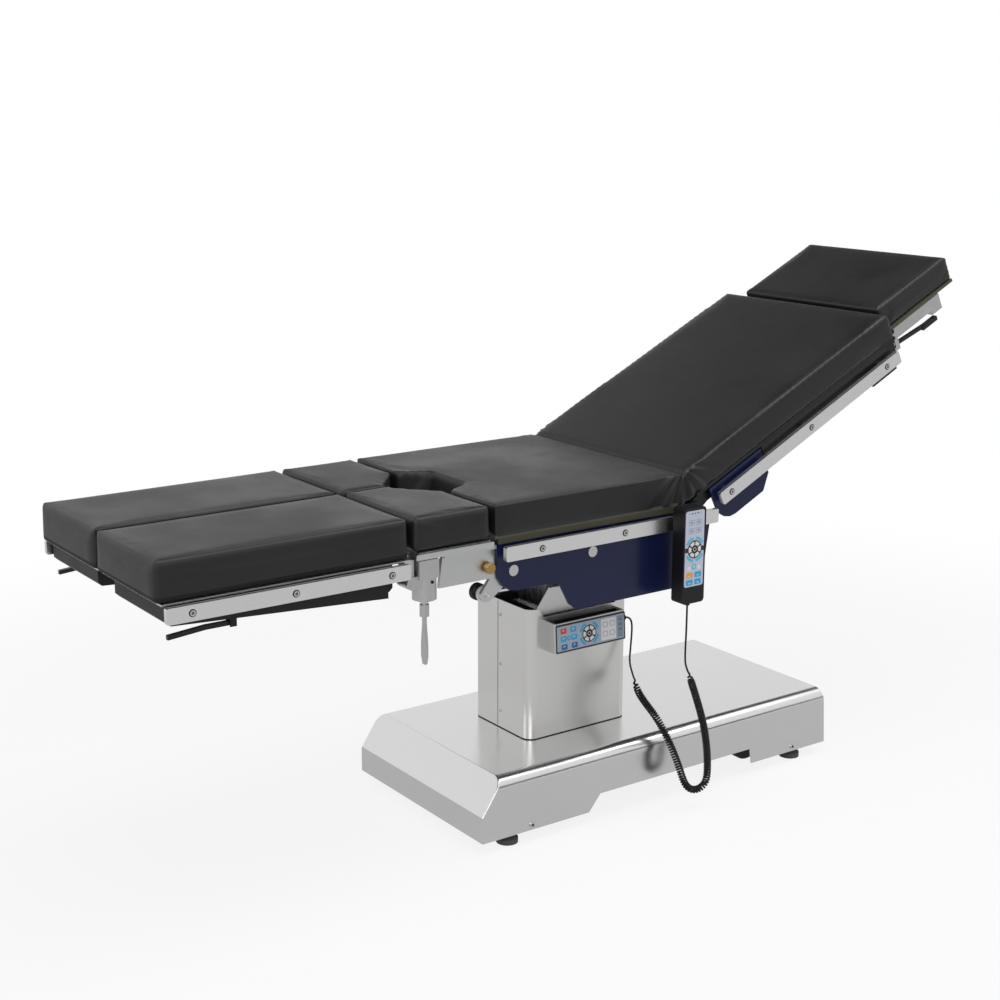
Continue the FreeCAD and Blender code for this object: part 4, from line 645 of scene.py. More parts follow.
def hip_crease(spots):
    """Press the fold line in across the top, and pucker the sides below it."""
    x = spots[:, 0] - HIP[0] * MM
    top = np.clip((spots[:, 2] - (TABLE_TOP - FOLD_BELOW) * MM) / FOLD_FADE, 0, 1)
    spots[:, 2] -= CREASE_DEPTH * np.exp(-(x / CREASE_WIDTH) ** 2) * top
    side = np.sign(spots[:, 1])
    at_side = np.clip((np.abs(spots[:, 1]) - PUCKER_FROM) / PUCKER_FADE, 0, 1)
    reach = np.exp(-(x / PUCKER_REACH) ** 2)
    angle = np.arctan2(spots[:, 2] - PUCKER_EYE, x)
    spots[:, 1] += side * PUCKER * np.sin(angle * PUCKER_WAVES + side * 0.8) * at_side * reach
    return spots


torso_pad = pad_piece("seat_and_back_cover", [seat_block(), bent_block()], SWELL, hip_crease, 0.008)
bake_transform(torso_pad)
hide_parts("seat_cushion", "back_cushion")

# %% [markdown]
# ## Pelvic, leg and head pads
# These are plain blocks, but each has its own outline. Pads in pairs come from one function.

# %% Smaller pads
PELVIC_LOW, PELVIC_ENDS, PELVIC_APEX, PELVIC_SPLIT = 654, (-650, -472.5), -538, 1.5
APEX_HALF = 20
LEG_LOW, LEG_PAD_ENDS, LEG_PAD_SPLIT = 646, (-1159, -656), 4


def pelvic_plan(side):
    foot, head = PELVIC_ENDS[0] + INSET, PELVIC_ENDS[1] - INSET
    edge, split = PAD_HALF - INSET, PELVIC_SPLIT + INSET / 2
    apex = PELVIC_APEX - INSET
    plan = [(foot, split), (apex, split), (apex, APEX_HALF), (head, CUT_WIDE + INSET),
            (head, edge), (foot, edge)]
    return [(x, side * y) for x, y in plan]


def leg_plan(side):
    foot, head = LEG_PAD_ENDS[0] + INSET, LEG_PAD_ENDS[1] - INSET
    split, edge = LEG_PAD_SPLIT + INSET / 2, PAD_HALF - INSET
    return [(x, side * y) for x, y in ((foot, split), (head, split), (head, edge), (foot, edge))]


for word, side in (("near", -1), ("far", 1)):
    pelvic = pad_piece("pelvic_pad_" + word, [prism(pelvic_plan(side), PELVIC_LOW + 1,
                                                    TABLE_TOP - INSET, upright)])
    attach(pelvic, "leg_section")
    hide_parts("pelvic_cushion_" + word)
    leg = pad_piece("leg_pad_" + word, [prism(leg_plan(side), LEG_LOW, TABLE_TOP - INSET, upright)])
    leg.data.materials[0] = FINISHES["leg_pad_cover"]
    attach(leg, "leg_" + word)
    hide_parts("leg_cushion_" + word)


HEAD_THICK, HEAD_TOP, HEAD_ENDS, HEAD_HALF = 63, 3, (659, 909), 215.5


def head_block():
    """The head pad, drawn along the back's slope."""
    start, end = HEAD_ENDS[0] + INSET, HEAD_ENDS[1] - INSET
    side = [on_back(start, -HEAD_THICK), on_back(end, -HEAD_THICK),
            on_back(end, -HEAD_TOP - INSET), on_back(start, -HEAD_TOP - INSET)]
    return prism(side, -HEAD_HALF + INSET, HEAD_HALF - INSET, across)


head_pad = pad_piece("head_pad", [head_block()])
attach(head_pad, "head")
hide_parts("head_cushion")

# %% [markdown]
# ## The curly cord
# The hand control hangs on a thin lead, a long curly stretch and another thin lead. The route's
# points are those of the CAD model, in metres. One smooth NURBS spline runs through their frame,
# and the curl winds round the middle stretch of it as a helix. The tube is a mesh.

# %% Cord route
PANEL_ROUTE = [(-30, -118, 386), (-16, -118, 384), (-9, -118.5, 370), (-11, -121, 348),
               (-18, -126, 316), (-24.9, -131, 287), (-26, -146, 262)]
COIL_ROUTE = [(-27.3, -164, 231), (-29, -192, 214), (-28, -224, 195), (-24, -250, 166),
              (-17, -269, 131), (-10, -283, 95), (-5, -291, 67), (2, -296.5, 51.5),
              (14.5, -300.5, 43.5), (28.5, -303.5, 43.5), (41, -305.5, 50.5), (48, -306.5, 64.5),
              (48.5, -307, 94), (44, -307, 140), (33, -307, 190), (16, -306, 240),
              (-2.5, -304.7, 289)]
HAND_ROUTE = [(-14.5, -304, 318), (-20.5, -303.5, 333.5), (-20.5, -303, 366), (-19, -303, 402),
              (-19, -303, 458)]
CORD_RADIUS = 0.0021
CURL_RADIUS = 0.0062
CURL_PITCH = 0.0056
TURN_STEPS = 14
CURL_EASE = 0.034
TUBE_SIDES = 8


def spline_points(route, samples=40):
    """Points along the smooth NURBS line of a route."""
    data = bpy.data.curves.new("route", "CURVE")
    data.dimensions = "3D"
    spline = data.splines.new("NURBS")
    spline.points.add(len(route) - 1)
    for point, spot in zip(spline.points, route):
        point.co = (*(Vector(spot) * MM), 1)
    spline.order_u = 3
    spline.use_endpoint_u = True
    spline.resolution_u = samples
    carrier = bpy.data.objects.new("route", data)
    mesh = bpy.data.meshes.new_from_object(carrier)
    spots = points_of(mesh).copy()
    bpy.data.objects.remove(carrier)
    return spots


def evenly(spots, step):
    """Points at an even spacing along a line of points, and how far along each lies."""
    reach = np.concatenate([[0], np.cumsum(np.linalg.norm(np.diff(spots, axis=0), axis=1))])
    count = max(2, int(round(reach[-1] / step)) + 1)
    along = np.linspace(0, reach[-1], count)
    return np.stack([np.interp(along, reach, spots[:, k]) for k in range(3)], axis=1), along


def frames_along(spots):
    """A pair of directions square to the line at each point, carried along without twist."""
    ahead = np.gradient(spots, axis=0)
    ahead /= np.linalg.norm(ahead, axis=1, keepdims=True)
    side = np.cross(ahead[0], (0.3, 1.0, 0.2))
    sides = []
    for direction in ahead:
        side = side - direction * side.dot(direction)
        side = side / np.linalg.norm(side)
        sides.append(side)
    sides = np.array(sides)
    return ahead, sides, np.cross(ahead, sides)


def curl_round(spots, first, last):
    """Wind the stretch between two distances along a line into a helix, easing in and out."""
    line, along = evenly(spots, CURL_PITCH / TURN_STEPS)
    _, side, up = frames_along(line)
    grow = np.clip((along - first) / CURL_EASE, 0, 1) * np.clip((last - along) / CURL_EASE, 0, 1)
    grow = grow * grow * (3 - 2 * grow)
    step = along[1] - along[0]
    angle = np.cumsum(2 * math.pi * grow / CURL_PITCH) * step
    ring = side * np.cos(angle)[:, None] + up * np.sin(angle)[:, None]
    curled = line + ring * (CURL_RADIUS * grow)[:, None]
    wanted = (grow > 0) | (np.arange(len(line)) % TURN_STEPS == 0)
    wanted[-1] = True
    return curled[wanted]


# %% [markdown]
# ### A tube along a path
# A ring of points is carried along the path without twist and joined to the next ring. That keeps
# the tube even through every turn of the curl.

# %% Tube
def tube_mesh(name, path, radius, sides=TUBE_SIDES):
    """A round tube with closed ends along a path."""
    _, side, up = frames_along(path)
    bm = bmesh.new()
    rings = []
    for spot, a, b in zip(path, side, up):
        ring = []
        for step in range(sides):
            turn = 2 * math.pi * step / sides
            ring.append(bm.verts.new(spot + (a * math.cos(turn) + b * math.sin(turn)) * radius))
        rings.append(ring)
    for low, high in zip(rings, rings[1:]):
        for here in range(sides):
            there = (here + 1) % sides
            bm.faces.new((low[here], low[there], high[there], high[here]))
    bm.faces.new(list(reversed(rings[0])))
    bm.faces.new(rings[-1])
    bmesh.ops.recalc_face_normals(bm, faces=bm.faces)
    return mesh_from(name, bm)


# %% [markdown]
# ### The cord in its place
# Its measured length and its tightest bend are printed.

# %% Curly cord
route = spline_points(PANEL_ROUTE + COIL_ROUTE + HAND_ROUTE)


def distance_to(point):
    """How far along the route its nearest point to a spot lies."""
    reach = np.concatenate([[0], np.cumsum(np.linalg.norm(np.diff(route, axis=0), axis=1))])
    return reach[np.argmin(np.linalg.norm(route - np.array(point) * MM, axis=1))]


cord_path = curl_round(route, distance_to(PANEL_ROUTE[-1]), distance_to(HAND_ROUTE[0]))
cord_length = float(np.linalg.norm(np.diff(cord_path, axis=0), axis=1).sum())
cord = new_piece("curly_cord", tube_mesh("curly_cord", cord_path, CORD_RADIUS), "cord_sheath",
                 None)
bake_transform(cord)
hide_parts("cord_lead_panel", "cord_coil", "cord_lead_handset")


def bend_radii(spots):
    """The radius of the circle through each three points in a row."""
    a, b, c = spots[:-2], spots[1:-1], spots[2:]
    sides = [np.linalg.norm(q - p, axis=1) for p, q in ((a, b), (b, c), (a, c))]
    area = np.linalg.norm(np.cross(b - a, c - a), axis=1)
    return sides[0] * sides[1] * sides[2] / np.maximum(2 * area, 1e-12)


bends = bend_radii(cord_path)
print("cord", round(cord_length, 2), "m along its curls, tightest bend",
      round(bends.min() * 1000, 2), "mm at point", int(bends.argmin()), "of", len(cord_path))

# %% [markdown]
# ## Printed key labels
# The panel on the column and the hand control each wear a printed film with soft keys under it. A
# film is thin, so each mark could be a texture, but the export keeps shapes better than drawings,
# and a thin plate has the small edge that the real film shows. A sheet class holds a flat frame and
# lays plates, discs and rings on it. No words are printed; the keys carry plain shapes.

# %% Film colours
def film(name, color, roughness=0.32):
    """Printed plastic film with a faint matt grain."""
    made = finish(name, color, roughness, 0.0, 0.15)
    grain = made.noise(2500.0, 2.0)
    tone = made.noise(40.0, 2.0)
    made.set("Base Color", made.blend(tuple(c * 0.94 for c in color), color, tone))
    made.bump(grain, 0.15, 0.00005)
    return made


film("film_pale", (0.64, 0.68, 0.82))
film("film_grey", (0.44, 0.52, 0.62))
film("film_strip", (0.24, 0.31, 0.41))
film("film_white", (0.86, 0.87, 0.88))
film("film_black", (0.012, 0.012, 0.014))
film("film_cyan", (0.03, 0.43, 0.8))
film("film_sky", (0.12, 0.58, 0.78))
film("film_blue", (0.015, 0.14, 0.5))
film("film_red", (0.85, 0.04, 0.01))
film("film_amber", (0.9, 0.42, 0.03))
film("film_line", (0.33, 0.37, 0.45))
print(len(FINISHES), "finishes with the films")


# %% Label sheet
ARC_STEPS = 10


class Sheet:
    """A flat place to lay thin marks on, with its corner, two directions and its size."""

    def __init__(self, corner, across_way, up_way, size):
        self.corner = Vector(corner) * MM
        self.across_way = Vector(across_way).normalized()
        self.up_way = Vector(up_way).normalized()
        self.out_way = self.across_way.cross(self.up_way)
        self.size = size
        self.bm = bmesh.new()
        self.slots = []

    def spot(self, a, b, out):
        return self.corner + (self.across_way * a + self.up_way * b + self.out_way * out) * MM

    def lay(self, outline, material, lift, hole=None, thick=0.25):
        """A thin prism of an outline, or a ring between an outline and its hole."""
        if material not in self.slots:
            self.slots.append(material)
        index = self.slots.index(material)
        count = len(outline)
        loops = [outline] + ([hole] if hole else [])
        rings = [[[self.bm.verts.new(self.spot(a, b, h)) for a, b in loop]
                  for h in (lift, lift + thick)] for loop in loops]
        faces = []
        for low, high in rings:
            for here in range(count):
                there = (here + 1) % count
                faces.append(self.bm.faces.new((low[here], low[there], high[there], high[here])))
        for level in (0, 1):
            if hole:
                for here in range(count):
                    there = (here + 1) % count
                    faces.append(self.bm.faces.new((rings[0][level][here], rings[0][level][there],
                                                    rings[1][level][there], rings[1][level][here])))
            else:
                faces.append(self.bm.faces.new(rings[0][level]))
        for face in faces:
            face.material_index = index
        bmesh.ops.recalc_face_normals(self.bm, faces=faces)

    def plate(self, middle, size, material, lift=0.25, round_by=1.5):
        """A rounded rectangle."""
        self.lay(rounded(middle, size, round_by), material, lift)

    def frame(self, middle, size, width, material, lift=0.5, round_by=1.5):
        inner = (size[0] - 2 * width, size[1] - 2 * width)
        self.lay(rounded(middle, size, round_by), material, lift,
                 rounded(middle, inner, round_by * 0.6))

    def disc(self, middle, radius, material, lift=0.5, inner=None):
        hole = circle(middle, inner) if inner else None
        self.lay(circle(middle, radius), material, lift, hole)

    def arc(self, middle, inner, outer, start, end, material, lift=0.5):
        """A piece of a ring between two angles, in degrees."""
        angles = [math.radians(start + (end - start) * n / ARC_STEPS) for n in range(ARC_STEPS + 1)]
        rim = [(outer, a) for a in angles] + [(inner, a) for a in reversed(angles)]
        self.lay([(middle[0] + r * math.cos(a), middle[1] + r * math.sin(a)) for r, a in rim],
                 material, lift)

    def finish(self, name, body, slot):
        mesh = bpy.data.meshes.new(name)
        self.bm.to_mesh(mesh)
        self.bm.free()
        for material in self.slots:
            mesh.materials.append(FINISHES[material])
        piece = bpy.data.objects.new(name, mesh)
        bpy.context.collection.objects.link(piece)
        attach(piece, body)
        print(name, len(mesh.polygons), "faces")
        return piece


# %% [markdown]
# ### Outlines and the wheel of keys
# Discs, rounded plates and the wheel of keys are shared by the panel and the hand control.

# %% Outlines and wheel
def circle(middle, radius, count=28):
    return [(middle[0] + radius * math.cos(2 * math.pi * n / count),
             middle[1] + radius * math.sin(2 * math.pi * n / count)) for n in range(count)]


def rounded(middle, size, radius, steps=4):
    """Points of a rectangle with round corners."""
    points = []
    for quarter, (sx, sy) in enumerate(((1, 1), (-1, 1), (-1, -1), (1, -1))):
        cx = middle[0] + sx * (size[0] / 2 - radius)
        cy = middle[1] + sy * (size[1] / 2 - radius)
        for step in range(steps + 1):
            angle = math.radians(90 * quarter + 90 * step / steps)
            points.append((cx + radius * math.cos(angle), cy + radius * math.sin(angle)))
    return points


WHEEL = 18.7


def wheel(sheet, middle, arcs, material):
    """The round pad: a black ring and cross of keys, white sectors, and arcs about it."""
    sheet.disc(middle, WHEEL, "film_black", 0.45)
    for start in range(6):
        angle = 30 + 60 * start
        sheet.arc(middle, 9.0, 16.3, angle + 7, angle + 53, "film_white", 0.6)
    sheet.disc(middle, 4.2, "film_white", 0.6, 3.2)
    for start, end in arcs:
        sheet.arc(middle, 20.8, 26.4, start, end, material, 0.45)


# %% [markdown]
# ## The column's panel
# The panel's film lies on the front of its wedge, which leans back a little. A black border shows
# all round it. The keys, the wheel with four arcs, the white block and the strip of lamps are at
# the places that the photograph shows.

# %% Panel label
PANEL_FOOT_Y, PANEL_LOW, PANEL_HIGH, PANEL_LEAN = -135.0, 344.0, 408.0, 4.0
LABEL_X, LABEL_LOW, LABEL_SIZE = -222.0, 4.5, (178.0, 53.0)


PANEL_KEYS = [(0.095, 0.8, "film_red"), (0.24, 0.8, "film_cyan"), (0.095, 0.48, "film_cyan"),
              (0.25, 0.48, "film_cyan"), (0.105, 0.15, "film_blue"), (0.255, 0.15, "film_blue")]
PANEL_KEY_SIZE, PANEL_MARK = (15.5, 11.5), (1.6, 3.0, 20, 200)
PANEL_ARCS = ((15, 65), (115, 165), (195, 245), (295, 345))
PANEL_LAMPS = (0.78, 0.58, 0.38)


def panel_label():
    up_way = Vector((0, PANEL_LEAN, PANEL_HIGH - PANEL_LOW)).normalized()
    corner = Vector((LABEL_X, PANEL_FOOT_Y, PANEL_LOW)) + up_way * LABEL_LOW
    sheet = Sheet(corner, (1, 0, 0), up_way, LABEL_SIZE)
    wide, tall = LABEL_SIZE
    centre = (wide / 2, tall / 2)
    sheet.plate(centre, (wide + 7, tall + 7), "film_black", 0.0, 3.0)
    sheet.plate(centre, (wide, tall), "film_grey", 0.22, 2.0)
    for a, b, material in PANEL_KEYS:
        middle = (a * wide, b * tall)
        sheet.plate(middle, PANEL_KEY_SIZE, material, 0.45, 2.0)
        sheet.arc(middle, *PANEL_MARK, "film_white", 0.62)
    sheet.disc((0.172 * wide, 0.48 * tall), 5.0, "film_cyan", 0.45, 2.4)
    wheel(sheet, (0.475 * wide, 0.49 * tall), PANEL_ARCS, "film_cyan")
    sheet.plate((0.765 * wide, centre[1]), (0.225 * wide, 0.88 * tall), "film_white", 0.45, 2.0)
    for a in (0.715, 0.82):
        for b in (0.7, 0.32):
            sheet.frame((a * wide, b * tall), (13, 11), 1.0, "film_line", 0.65, 2.0)
    sheet.plate((0.943 * wide, centre[1]), (0.085 * wide, 0.88 * tall), "film_strip", 0.45, 2.0)
    for b in PANEL_LAMPS:
        sheet.plate((0.943 * wide, b * tall), (6.5, 2.0), "film_black", 0.62, 0.9)
    return sheet.finish("panel_label", "root", "black_case")


panel_label()

# %% [markdown]
# ## The hand control's face
# The film on the hand control is taller than wide, with the same wheel at its middle, a row of
# lamps at its top and four coloured keys at its foot. Black bands run from the wheel to both edges.

# %% Hand control label
HAND_FACE_Y = -320.0
HAND_LABEL_X, HAND_LABEL_LOW, HAND_LABEL = -44.5, 502.0, (50.0, 158.0)


HAND_KEYS = [(0.27, 0.153, "film_amber"), (0.72, 0.153, "film_cyan"), (0.27, 0.058, "film_cyan"),
             (0.72, 0.058, "film_cyan")]
HAND_KEY_SIZE, HAND_MARK = (18, 11.5), (1.6, 3.2, 200, 340)
HAND_ARCS = ((30, 82), (98, 150), (210, 262), (278, 330))


def hand_label():
    sheet = Sheet((HAND_LABEL_X, HAND_FACE_Y, HAND_LABEL_LOW), (1, 0, 0), (0, 0, 1), HAND_LABEL)
    wide, tall = HAND_LABEL
    sheet.plate((wide / 2, tall / 2), (wide, tall), "film_pale", 0.02, 5.0)
    for n in range(5):
        material = "film_black" if 0 < n < 4 else "film_sky"
        sheet.plate((wide * (0.18 + 0.16 * n), tall * 0.965), (4.2, 2.0), material, 0.27, 0.9)
    for a in (0.32, 0.7):
        for b in (0.845, 0.74):
            sheet.frame((a * wide, b * tall), (15, 11), 0.9, "film_line", 0.27, 2.2)
            sheet.plate((a * wide, b * tall), (7, 4.5), "film_line", 0.27, 1.4)
    middle = (wide * 0.51, tall * 0.49)
    for side in (0.0, 1.0):
        reach = abs(side * wide - middle[0])
        sheet.plate(((side * wide + middle[0]) / 2, middle[1]), (reach - 0.3, 9.5), "film_black",
                    0.27, 1.0)
    wheel(sheet, middle, HAND_ARCS, "film_sky")
    ring_spot = (wide * 0.5, tall * 0.264)
    sheet.disc(ring_spot, 6.2, "film_sky", 0.27, 3.6)
    for a in (0.24, 0.77):
        sheet.disc((a * wide, tall * 0.245), 4.4, "film_white", 0.27)
    for a, b, material in HAND_KEYS:
        key = (a * wide, b * tall)
        sheet.plate(key, HAND_KEY_SIZE, material, 0.27, 2.0)
        sheet.arc(key, *HAND_MARK, "film_white", 0.44)
    return sheet.finish("hand_control_label", "handset_unit", "black_case")


hand_label()

# %% [markdown]
# ## Socket screws
# The rails are held by socket head screws sunk into them. One screw is a disc with a six-sided hole,
# and black discs of painted shade darken its hole and a rim round it. They repeat, so a Geometry
# Nodes tree places a screw on each point that it gets, turned to face the point's side. Each carrier
# gets one mesh.

# %% Screw tree
def screw_tree():
    """Points with a 'turn' attribute in, socket screws out."""
    tree = bpy.data.node_groups.new("socket_screws", "GeometryNodeTree")
    face = tree.interface
    face.new_socket("Geometry", in_out="INPUT", socket_type="NodeSocketGeometry")
    for name in ("Head radius", "Head height", "Socket radius"):
        face.new_socket(name, in_out="INPUT", socket_type="NodeSocketFloat")
    face.new_socket("Finish", in_out="INPUT", socket_type="NodeSocketMaterial")
    face.new_socket("Geometry", in_out="OUTPUT", socket_type="NodeSocketGeometry")
    given = add_node(tree, "NodeGroupInput").outputs
    head = add_node(tree, "GeometryNodeMeshCone", {},
                   {"Vertices": 24, "Radius Bottom": given["Head radius"],
                    "Radius Top": given["Head radius"], "Depth": given["Head height"]})
    well = add_node(tree, "GeometryNodeMeshCone", {},
                   {"Vertices": 6, "Radius Bottom": given["Socket radius"],
                    "Radius Top": given["Socket radius"], "Depth": given["Head height"]})
    raised = add_node(tree, "GeometryNodeTransform", {}, {"Geometry": well.outputs["Mesh"]})
    half = add_node(tree, "ShaderNodeMath", {"operation": "MULTIPLY"},
                    {0: given["Head height"], 1: 0.35})
    lift = add_node(tree, "ShaderNodeCombineXYZ", {}, {"Z": half.outputs[0]})
    tree.links.new(lift.outputs[0], raised.inputs["Translation"])
    drilled = add_node(tree, "GeometryNodeMeshBoolean", {"operation": "DIFFERENCE"},
                      {"Mesh 1": head.outputs["Mesh"], "Mesh 2": raised.outputs["Geometry"]})
    turn = add_node(tree, "GeometryNodeInputNamedAttribute", {"data_type": "FLOAT_VECTOR"},
                   {"Name": "turn"})
    placed = add_node(tree, "GeometryNodeInstanceOnPoints", {},
                     {"Points": given["Geometry"], "Instance": drilled.outputs["Mesh"]})
    aim = add_node(tree, "FunctionNodeAlignRotationToVector", {"axis": "Z"},
                  {"Vector": turn.outputs["Attribute"]})
    tree.links.new(aim.outputs["Rotation"], placed.inputs["Rotation"])
    solid = add_node(tree, "GeometryNodeRealizeInstances", {},
                     {"Geometry": placed.outputs["Instances"]})
    dressed = add_node(tree, "GeometryNodeSetMaterial", {},
                      {"Geometry": solid.outputs["Geometry"], "Material": given["Finish"]})
    add_node(tree, "NodeGroupOutput", {}, {"Geometry": dressed.outputs["Geometry"]})
    return tree


# %% [markdown]
# ### Screws on their places
# The tree gets its sizes through the sockets' identifiers, is evaluated once, and its result is kept
# as a plain mesh.

# %% Place screws
SCREWS = screw_tree()
print("screw tree of", len(SCREWS.nodes), "nodes")


def screws_on(name, body, spots, sizes, material="screw_steel", slot="stainless_small"):
    """Screws at (place, direction) pairs in millimetres, as one mesh on one body."""
    mesh = bpy.data.meshes.new(name)
    mesh.from_pydata([Vector(spot) * MM for spot, _ in spots], [], [])
    turn = mesh.attributes.new("turn", "FLOAT_VECTOR", "POINT")
    turn.data.foreach_set("vector", [v for _, way in spots for v in way])
    carrier = bpy.data.objects.new(name, mesh)
    bpy.context.collection.objects.link(carrier)
    grow = carrier.modifiers.new("screws", "NODES")
    grow.node_group = SCREWS
    wanted = {"Head radius": sizes[0] * MM, "Head height": sizes[1] * MM,
              "Socket radius": sizes[2] * MM, "Finish": FINISHES[material]}
    for item in SCREWS.interface.items_tree:
        if item.in_out == "INPUT" and item.name in wanted:
            grow[item.identifier] = wanted[item.name]
    apply_modifiers(carrier)
    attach(carrier, body)
    print(name, len(carrier.data.polygons), "faces")
    return carrier


def shade_plugs_on(name, body, spots, radius, material="black_paint", slot="black_paint"):
    """Black discs of painted shade at the bottoms of the socket holes, just under the screws' faces.
    """
    sunk = [(tuple(Vector(spot) - Vector(way).normalized() * 0.2), way) for spot, way in spots]
    return screws_on(name, body, sunk, (radius, 1.0, radius * 0.35), material, slot)


# %% Rail screws
RAIL_FACE = 275
# The radius of the black discs of painted shade in the screws' sockets.
SOCKET_SHADE_RADIUS = 2.6
BLACK = ("black_paint", "black_paint")
RAIL_SCREW = (5.2, 2.0, 2.9)
# The rim is a black disc of painted shade round each sunk screw, where its recess is shaded.
RIM_SHADE = (7.0, 0.8, 5.3)


def rail_spots(places):
    """Both sides' screw places; the head stands 0.6 mm out of the rail."""
    return [((x, side * (RAIL_FACE - 0.4), z), (0, side, 0)) for x, z in places for side in (-1, 1)]


SEAT_SCREWS = [(-368, 625.5), (-163, 625.5)]
LEG_SCREWS = [(-1098, 627.5), (-902, 627.5), (-706, 627.5)]
BACK_SCREWS = [on_back(s, -98.5) for s in (84, 335, 586)]


def rail_set(names, body, spots):
    """The screws of one rail, with black discs of painted shade in their sockets and round their
    heads.
    """
    screws_on(names % "screws", body, spots, RAIL_SCREW)
    shade_plugs_on(names % "sockets", body, spots, SOCKET_SHADE_RADIUS)
    screws_on(names % "rim_shade", body, spots, RIM_SHADE, *BLACK)


rail_set("seat_rail_%s", "seat", rail_spots(SEAT_SCREWS))
rail_set("back_rail_%s", "back", rail_spots(BACK_SCREWS))
for word, side in (("near", -1), ("far", 1)):
    rail_set("leg_rail_%s_" + word, "leg_" + word,
             [spot for spot in rail_spots(LEG_SCREWS) if spot[1][1] == side])

# %% [markdown]
# ## Column seam and small screws
# The column's cover is one folded sheet that meets on its foot side. The joint shows as a fine
# upright line with three small screws beside it. The line is a thin strip of dark filler.

# %% Column seam
SHROUD_FOOT_X, SEAM_Y, SEAM_LOW, SEAM_WIDE = -270, 10, 156, 1.2
COLUMN_SCREW, COLUMN_SCREW_HEIGHTS = (3.2, 1.6, 1.4), (190, 295.5, 404)
seam = Sheet((SHROUD_FOOT_X, SEAM_Y + SEAM_WIDE / 2, SEAM_LOW), (0, -1, 0), (0, 0, 1),
             (SEAM_WIDE, 280))
seam.plate((SEAM_WIDE / 2, 139), (SEAM_WIDE, 278), "black_paint", 0.02, 0.3)
seam.finish("column_seam", "root", "stainless_column")
screws_on("column_screws", "root", [((SHROUD_FOOT_X + 0.1, SEAM_Y - 9, z), (-1, 0, 0))
                                    for z in COLUMN_SCREW_HEIGHTS], COLUMN_SCREW)

# %% [markdown]
# ## Small bolts and edge strips
# A folded steel strip closes the side of the pelvic part, and the edge of the seat's board shows as
# a thin olive line over the blue frame. Bolts and the base cover's screws have heads of their own,
# and black discs paint the shade in the cover screws' sockets.

# %% Strips and bolts
STRIP_THICK = 2.5


def side_strip(name, body, ends, heights, face, material, slot):
    """A thin bar on both sides, between two x, two heights, on a face |y|, with soft edges."""
    joined = bmesh.new()
    for side in (-1, 1):
        outline = rounded(((ends[0] + ends[1]) / 2, (heights[0] + heights[1]) / 2),
                          (ends[1] - ends[0], heights[1] - heights[0]), 2.0)
        bar = prism(outline, side * face, side * (face + STRIP_THICK), across)
        joined.from_mesh(mesh_from(name, bar, False))
    return new_piece(name, mesh_from(name, joined, False), material, body)


BOARD_EDGE = ((-456, -12), (641.5, 653.5), 250)
PELVIC_STRIP = ((-647, -474), (642, 653), 262)
side_strip("seat_board_edge", "seat", *BOARD_EDGE, "olive_board", "olive_board")
side_strip("pelvic_side_strip", "leg_section", *PELVIC_STRIP, "bracket_steel", "bracket_steel")
LINK_BOLTS = [((-475, side * 244, 543), (0, side, 0)) for side in (-1, 1)]
LINK_BOLT, KNUCKLE_BOLT = (5.5, 3.0, 2.4), (3.2, 1.2, 1.8)
screws_on("link_bolts", "leg_section", LINK_BOLTS, LINK_BOLT)
# Black discs of painted shade in the sockets of the base cover's screws.
COVER_SOCKET_SHADE = [((x, side * 234.4, 36), (0, side, 0)) for x in (-356, 375) for side in (-1, 1)]
shade_plugs_on("cover_screw_sockets", "root", COVER_SOCKET_SHADE, SOCKET_SHADE_RADIUS)
for word, side in (("near", -1), ("far", 1)):
    screws_on("knuckle_bolts_" + word, "knuckle_%s_body" % word,
              [((-616, side * 268, 598.6), (0, side, 0))], KNUCKLE_BOLT, *BLACK)

# %% [markdown]
# ## Floor, backdrop and light
# The photograph stands the table on plain white. The floor is a pale sheet that looks white to the
# camera, a little darker in reflections, and still takes a soft shadow. Broad lamps above and at
# the sides light the table evenly, and two dark cards, hidden from the camera, draw the dark bands
# that a studio shot shows along a rolled steel edge.

# %% Studio
def seen_rays(tree):
    """1 for rays from the camera, from glossy surfaces or through glass, 0 for all others."""
    path = add_node(tree, "ShaderNodeLightPath").outputs
    shiny = add_node(tree, "ShaderNodeMath", {"operation": "MAXIMUM"},
                     {0: path["Is Camera Ray"], 1: path["Is Glossy Ray"]})
    return add_node(tree, "ShaderNodeMath", {"operation": "MAXIMUM"},
                    {0: shiny.outputs[0], 1: path["Is Transmission Ray"]}).outputs[0]


FLOOR_WHITE = 0.86
FLOOR_IN_MIRRORS = 0.66
FADE_FROM, FADE_TO = 1.3, 2.6
AIR_LIGHT = 0.4


def make_floor():
    """A wide sheet that shows mostly its own white, and a share of the light and shadow on it."""
    bm = bmesh.new()
    bmesh.ops.create_grid(bm, x_segments=1, y_segments=1, size=40)
    mesh = mesh_from("floor", bm)
    pale = Finish("floor_pale", (0.9, 0.9, 0.9), 0.9)
    tree = pale.tree
    camera_ray = Wire(pale, add_node(tree, "ShaderNodeLightPath").outputs["Is Camera Ray"])
    grey = (FLOOR_IN_MIRRORS,) * 3
    glow = add_node(tree, "ShaderNodeEmission", {},
                    {"Color": pale.blend(grey, (1, 1, 1), camera_ray), "Strength": 1.0})
    spot = pale.node("ShaderNodeTexCoord", output="Object")
    away = pale.node("ShaderNodeVectorMath", {"operation": "LENGTH"}, {0: spot}, output="Value")
    share = Wire(pale, seen_rays(tree)) * away.ramp(FADE_FROM, FADE_TO, FLOOR_WHITE, 1.0)
    choice = add_node(tree, "ShaderNodeMixShader", {}, {"Fac": share, 1: pale.shader.outputs[0],
                                                        2: glow.outputs[0]})
    feed(tree, tree.nodes["Material Output"].inputs["Surface"], choice.outputs[0])
    mesh.materials.append(pale.material)
    floor = bpy.data.objects.new("floor", mesh)
    bpy.context.collection.objects.link(floor)
    return floor


# %% [markdown]
# ### Air, cards and lamps
# The world lights the table softly but looks white to the camera and in mirrors. Cards and lamps are
# hidden from the camera.

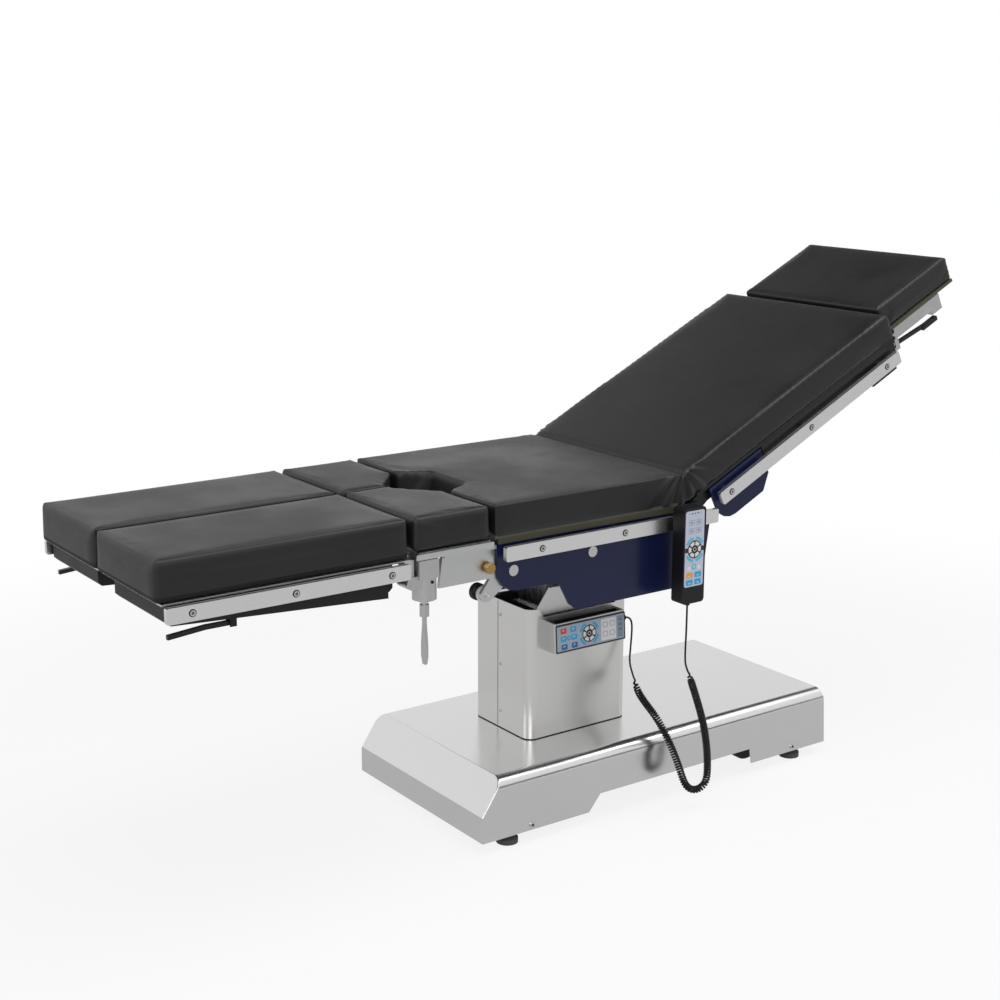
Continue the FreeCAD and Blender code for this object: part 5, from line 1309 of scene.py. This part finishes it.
# %% World, cards and lamps
def make_world():
    world = bpy.data.worlds.new("studio_air")
    world.use_nodes = True
    tree = world.node_tree
    air = tree.nodes["Background"]
    air.inputs["Color"].default_value = (1, 1, 1, 1)
    air.inputs["Strength"].default_value = AIR_LIGHT
    seen = add_node(tree, "ShaderNodeBackground", {}, {"Color": (1, 1, 1, 1), "Strength": 1.0})
    choice = add_node(tree, "ShaderNodeMixShader", {}, {"Fac": seen_rays(tree), 1: air.outputs[0],
                                                        2: seen.outputs[0]})
    feed(tree, tree.nodes["World Output"].inputs["Surface"], choice.outputs[0])
    bpy.context.scene.world = world


CARDS = [((2.0, 2.3, 3.9), (7.0, 3.0), (0, -0.35, -0.94)),
         ((1.2, -4.2, 1.0), (8.0, 0.9), (0, 0.98, -0.2))]


def make_cards():
    """Dark cards out of the picture. Shiny edges mirror them as the dark bands of a studio shot."""
    dark = Finish("card_black", (0.01, 0.01, 0.01), 0.9)
    for number, (middle, size, facing) in enumerate(CARDS):
        out = Vector(facing).normalized()
        across_way = Vector((1, 0, 0))
        up_way = out.cross(across_way)
        bm = bmesh.new()
        corners = [bm.verts.new(Vector(middle) + across_way * a * size[0] / 2
                                + up_way * b * size[1] / 2)
                   for a, b in ((-1, -1), (1, -1), (1, 1), (-1, 1))]
        bm.faces.new(corners)
        mesh = mesh_from("dark_card_%d" % number, bm, False)
        mesh.materials.append(dark.material)
        card = bpy.data.objects.new("dark_card_%d" % number, mesh)
        bpy.context.collection.objects.link(card)
        card.visible_camera = False


def lamp(name, spot, target, size, power):
    data = bpy.data.lights.new(name, "AREA")
    data.shape = "RECTANGLE"
    data.size, data.size_y = size
    data.energy = power
    light = bpy.data.objects.new(name, data)
    bpy.context.collection.objects.link(light)
    light.visible_camera = False
    aim = (Vector(target) - Vector(spot)).to_track_quat("-Z", "Y")
    light.matrix_world = Matrix.Translation(Vector(spot)) @ aim.to_matrix().to_4x4()


bpy.context.scene.view_settings.view_transform = "Standard"
make_floor()
make_world()
make_cards()
lamp("softbox_above", (0.6, -0.7, 3.3), (0.6, -0.6, 0), (4.8, 1.6), 60)
lamp("softbox_front", (-2.5, -3.2, 2.2), (0, 0, 0.5), (2.0, 2.0), 24)
lamp("softbox_foot", (-4.0, 0.6, 1.6), (0, 0, 0.5), (1.8, 1.8), 12)
print("studio of one floor,", len(CARDS), "dark cards and", len(bpy.data.lights), "lamps")

# %% [markdown]
# ## Mesh count

# %% Finish
print(len(bpy.data.meshes), "meshes in the scene")
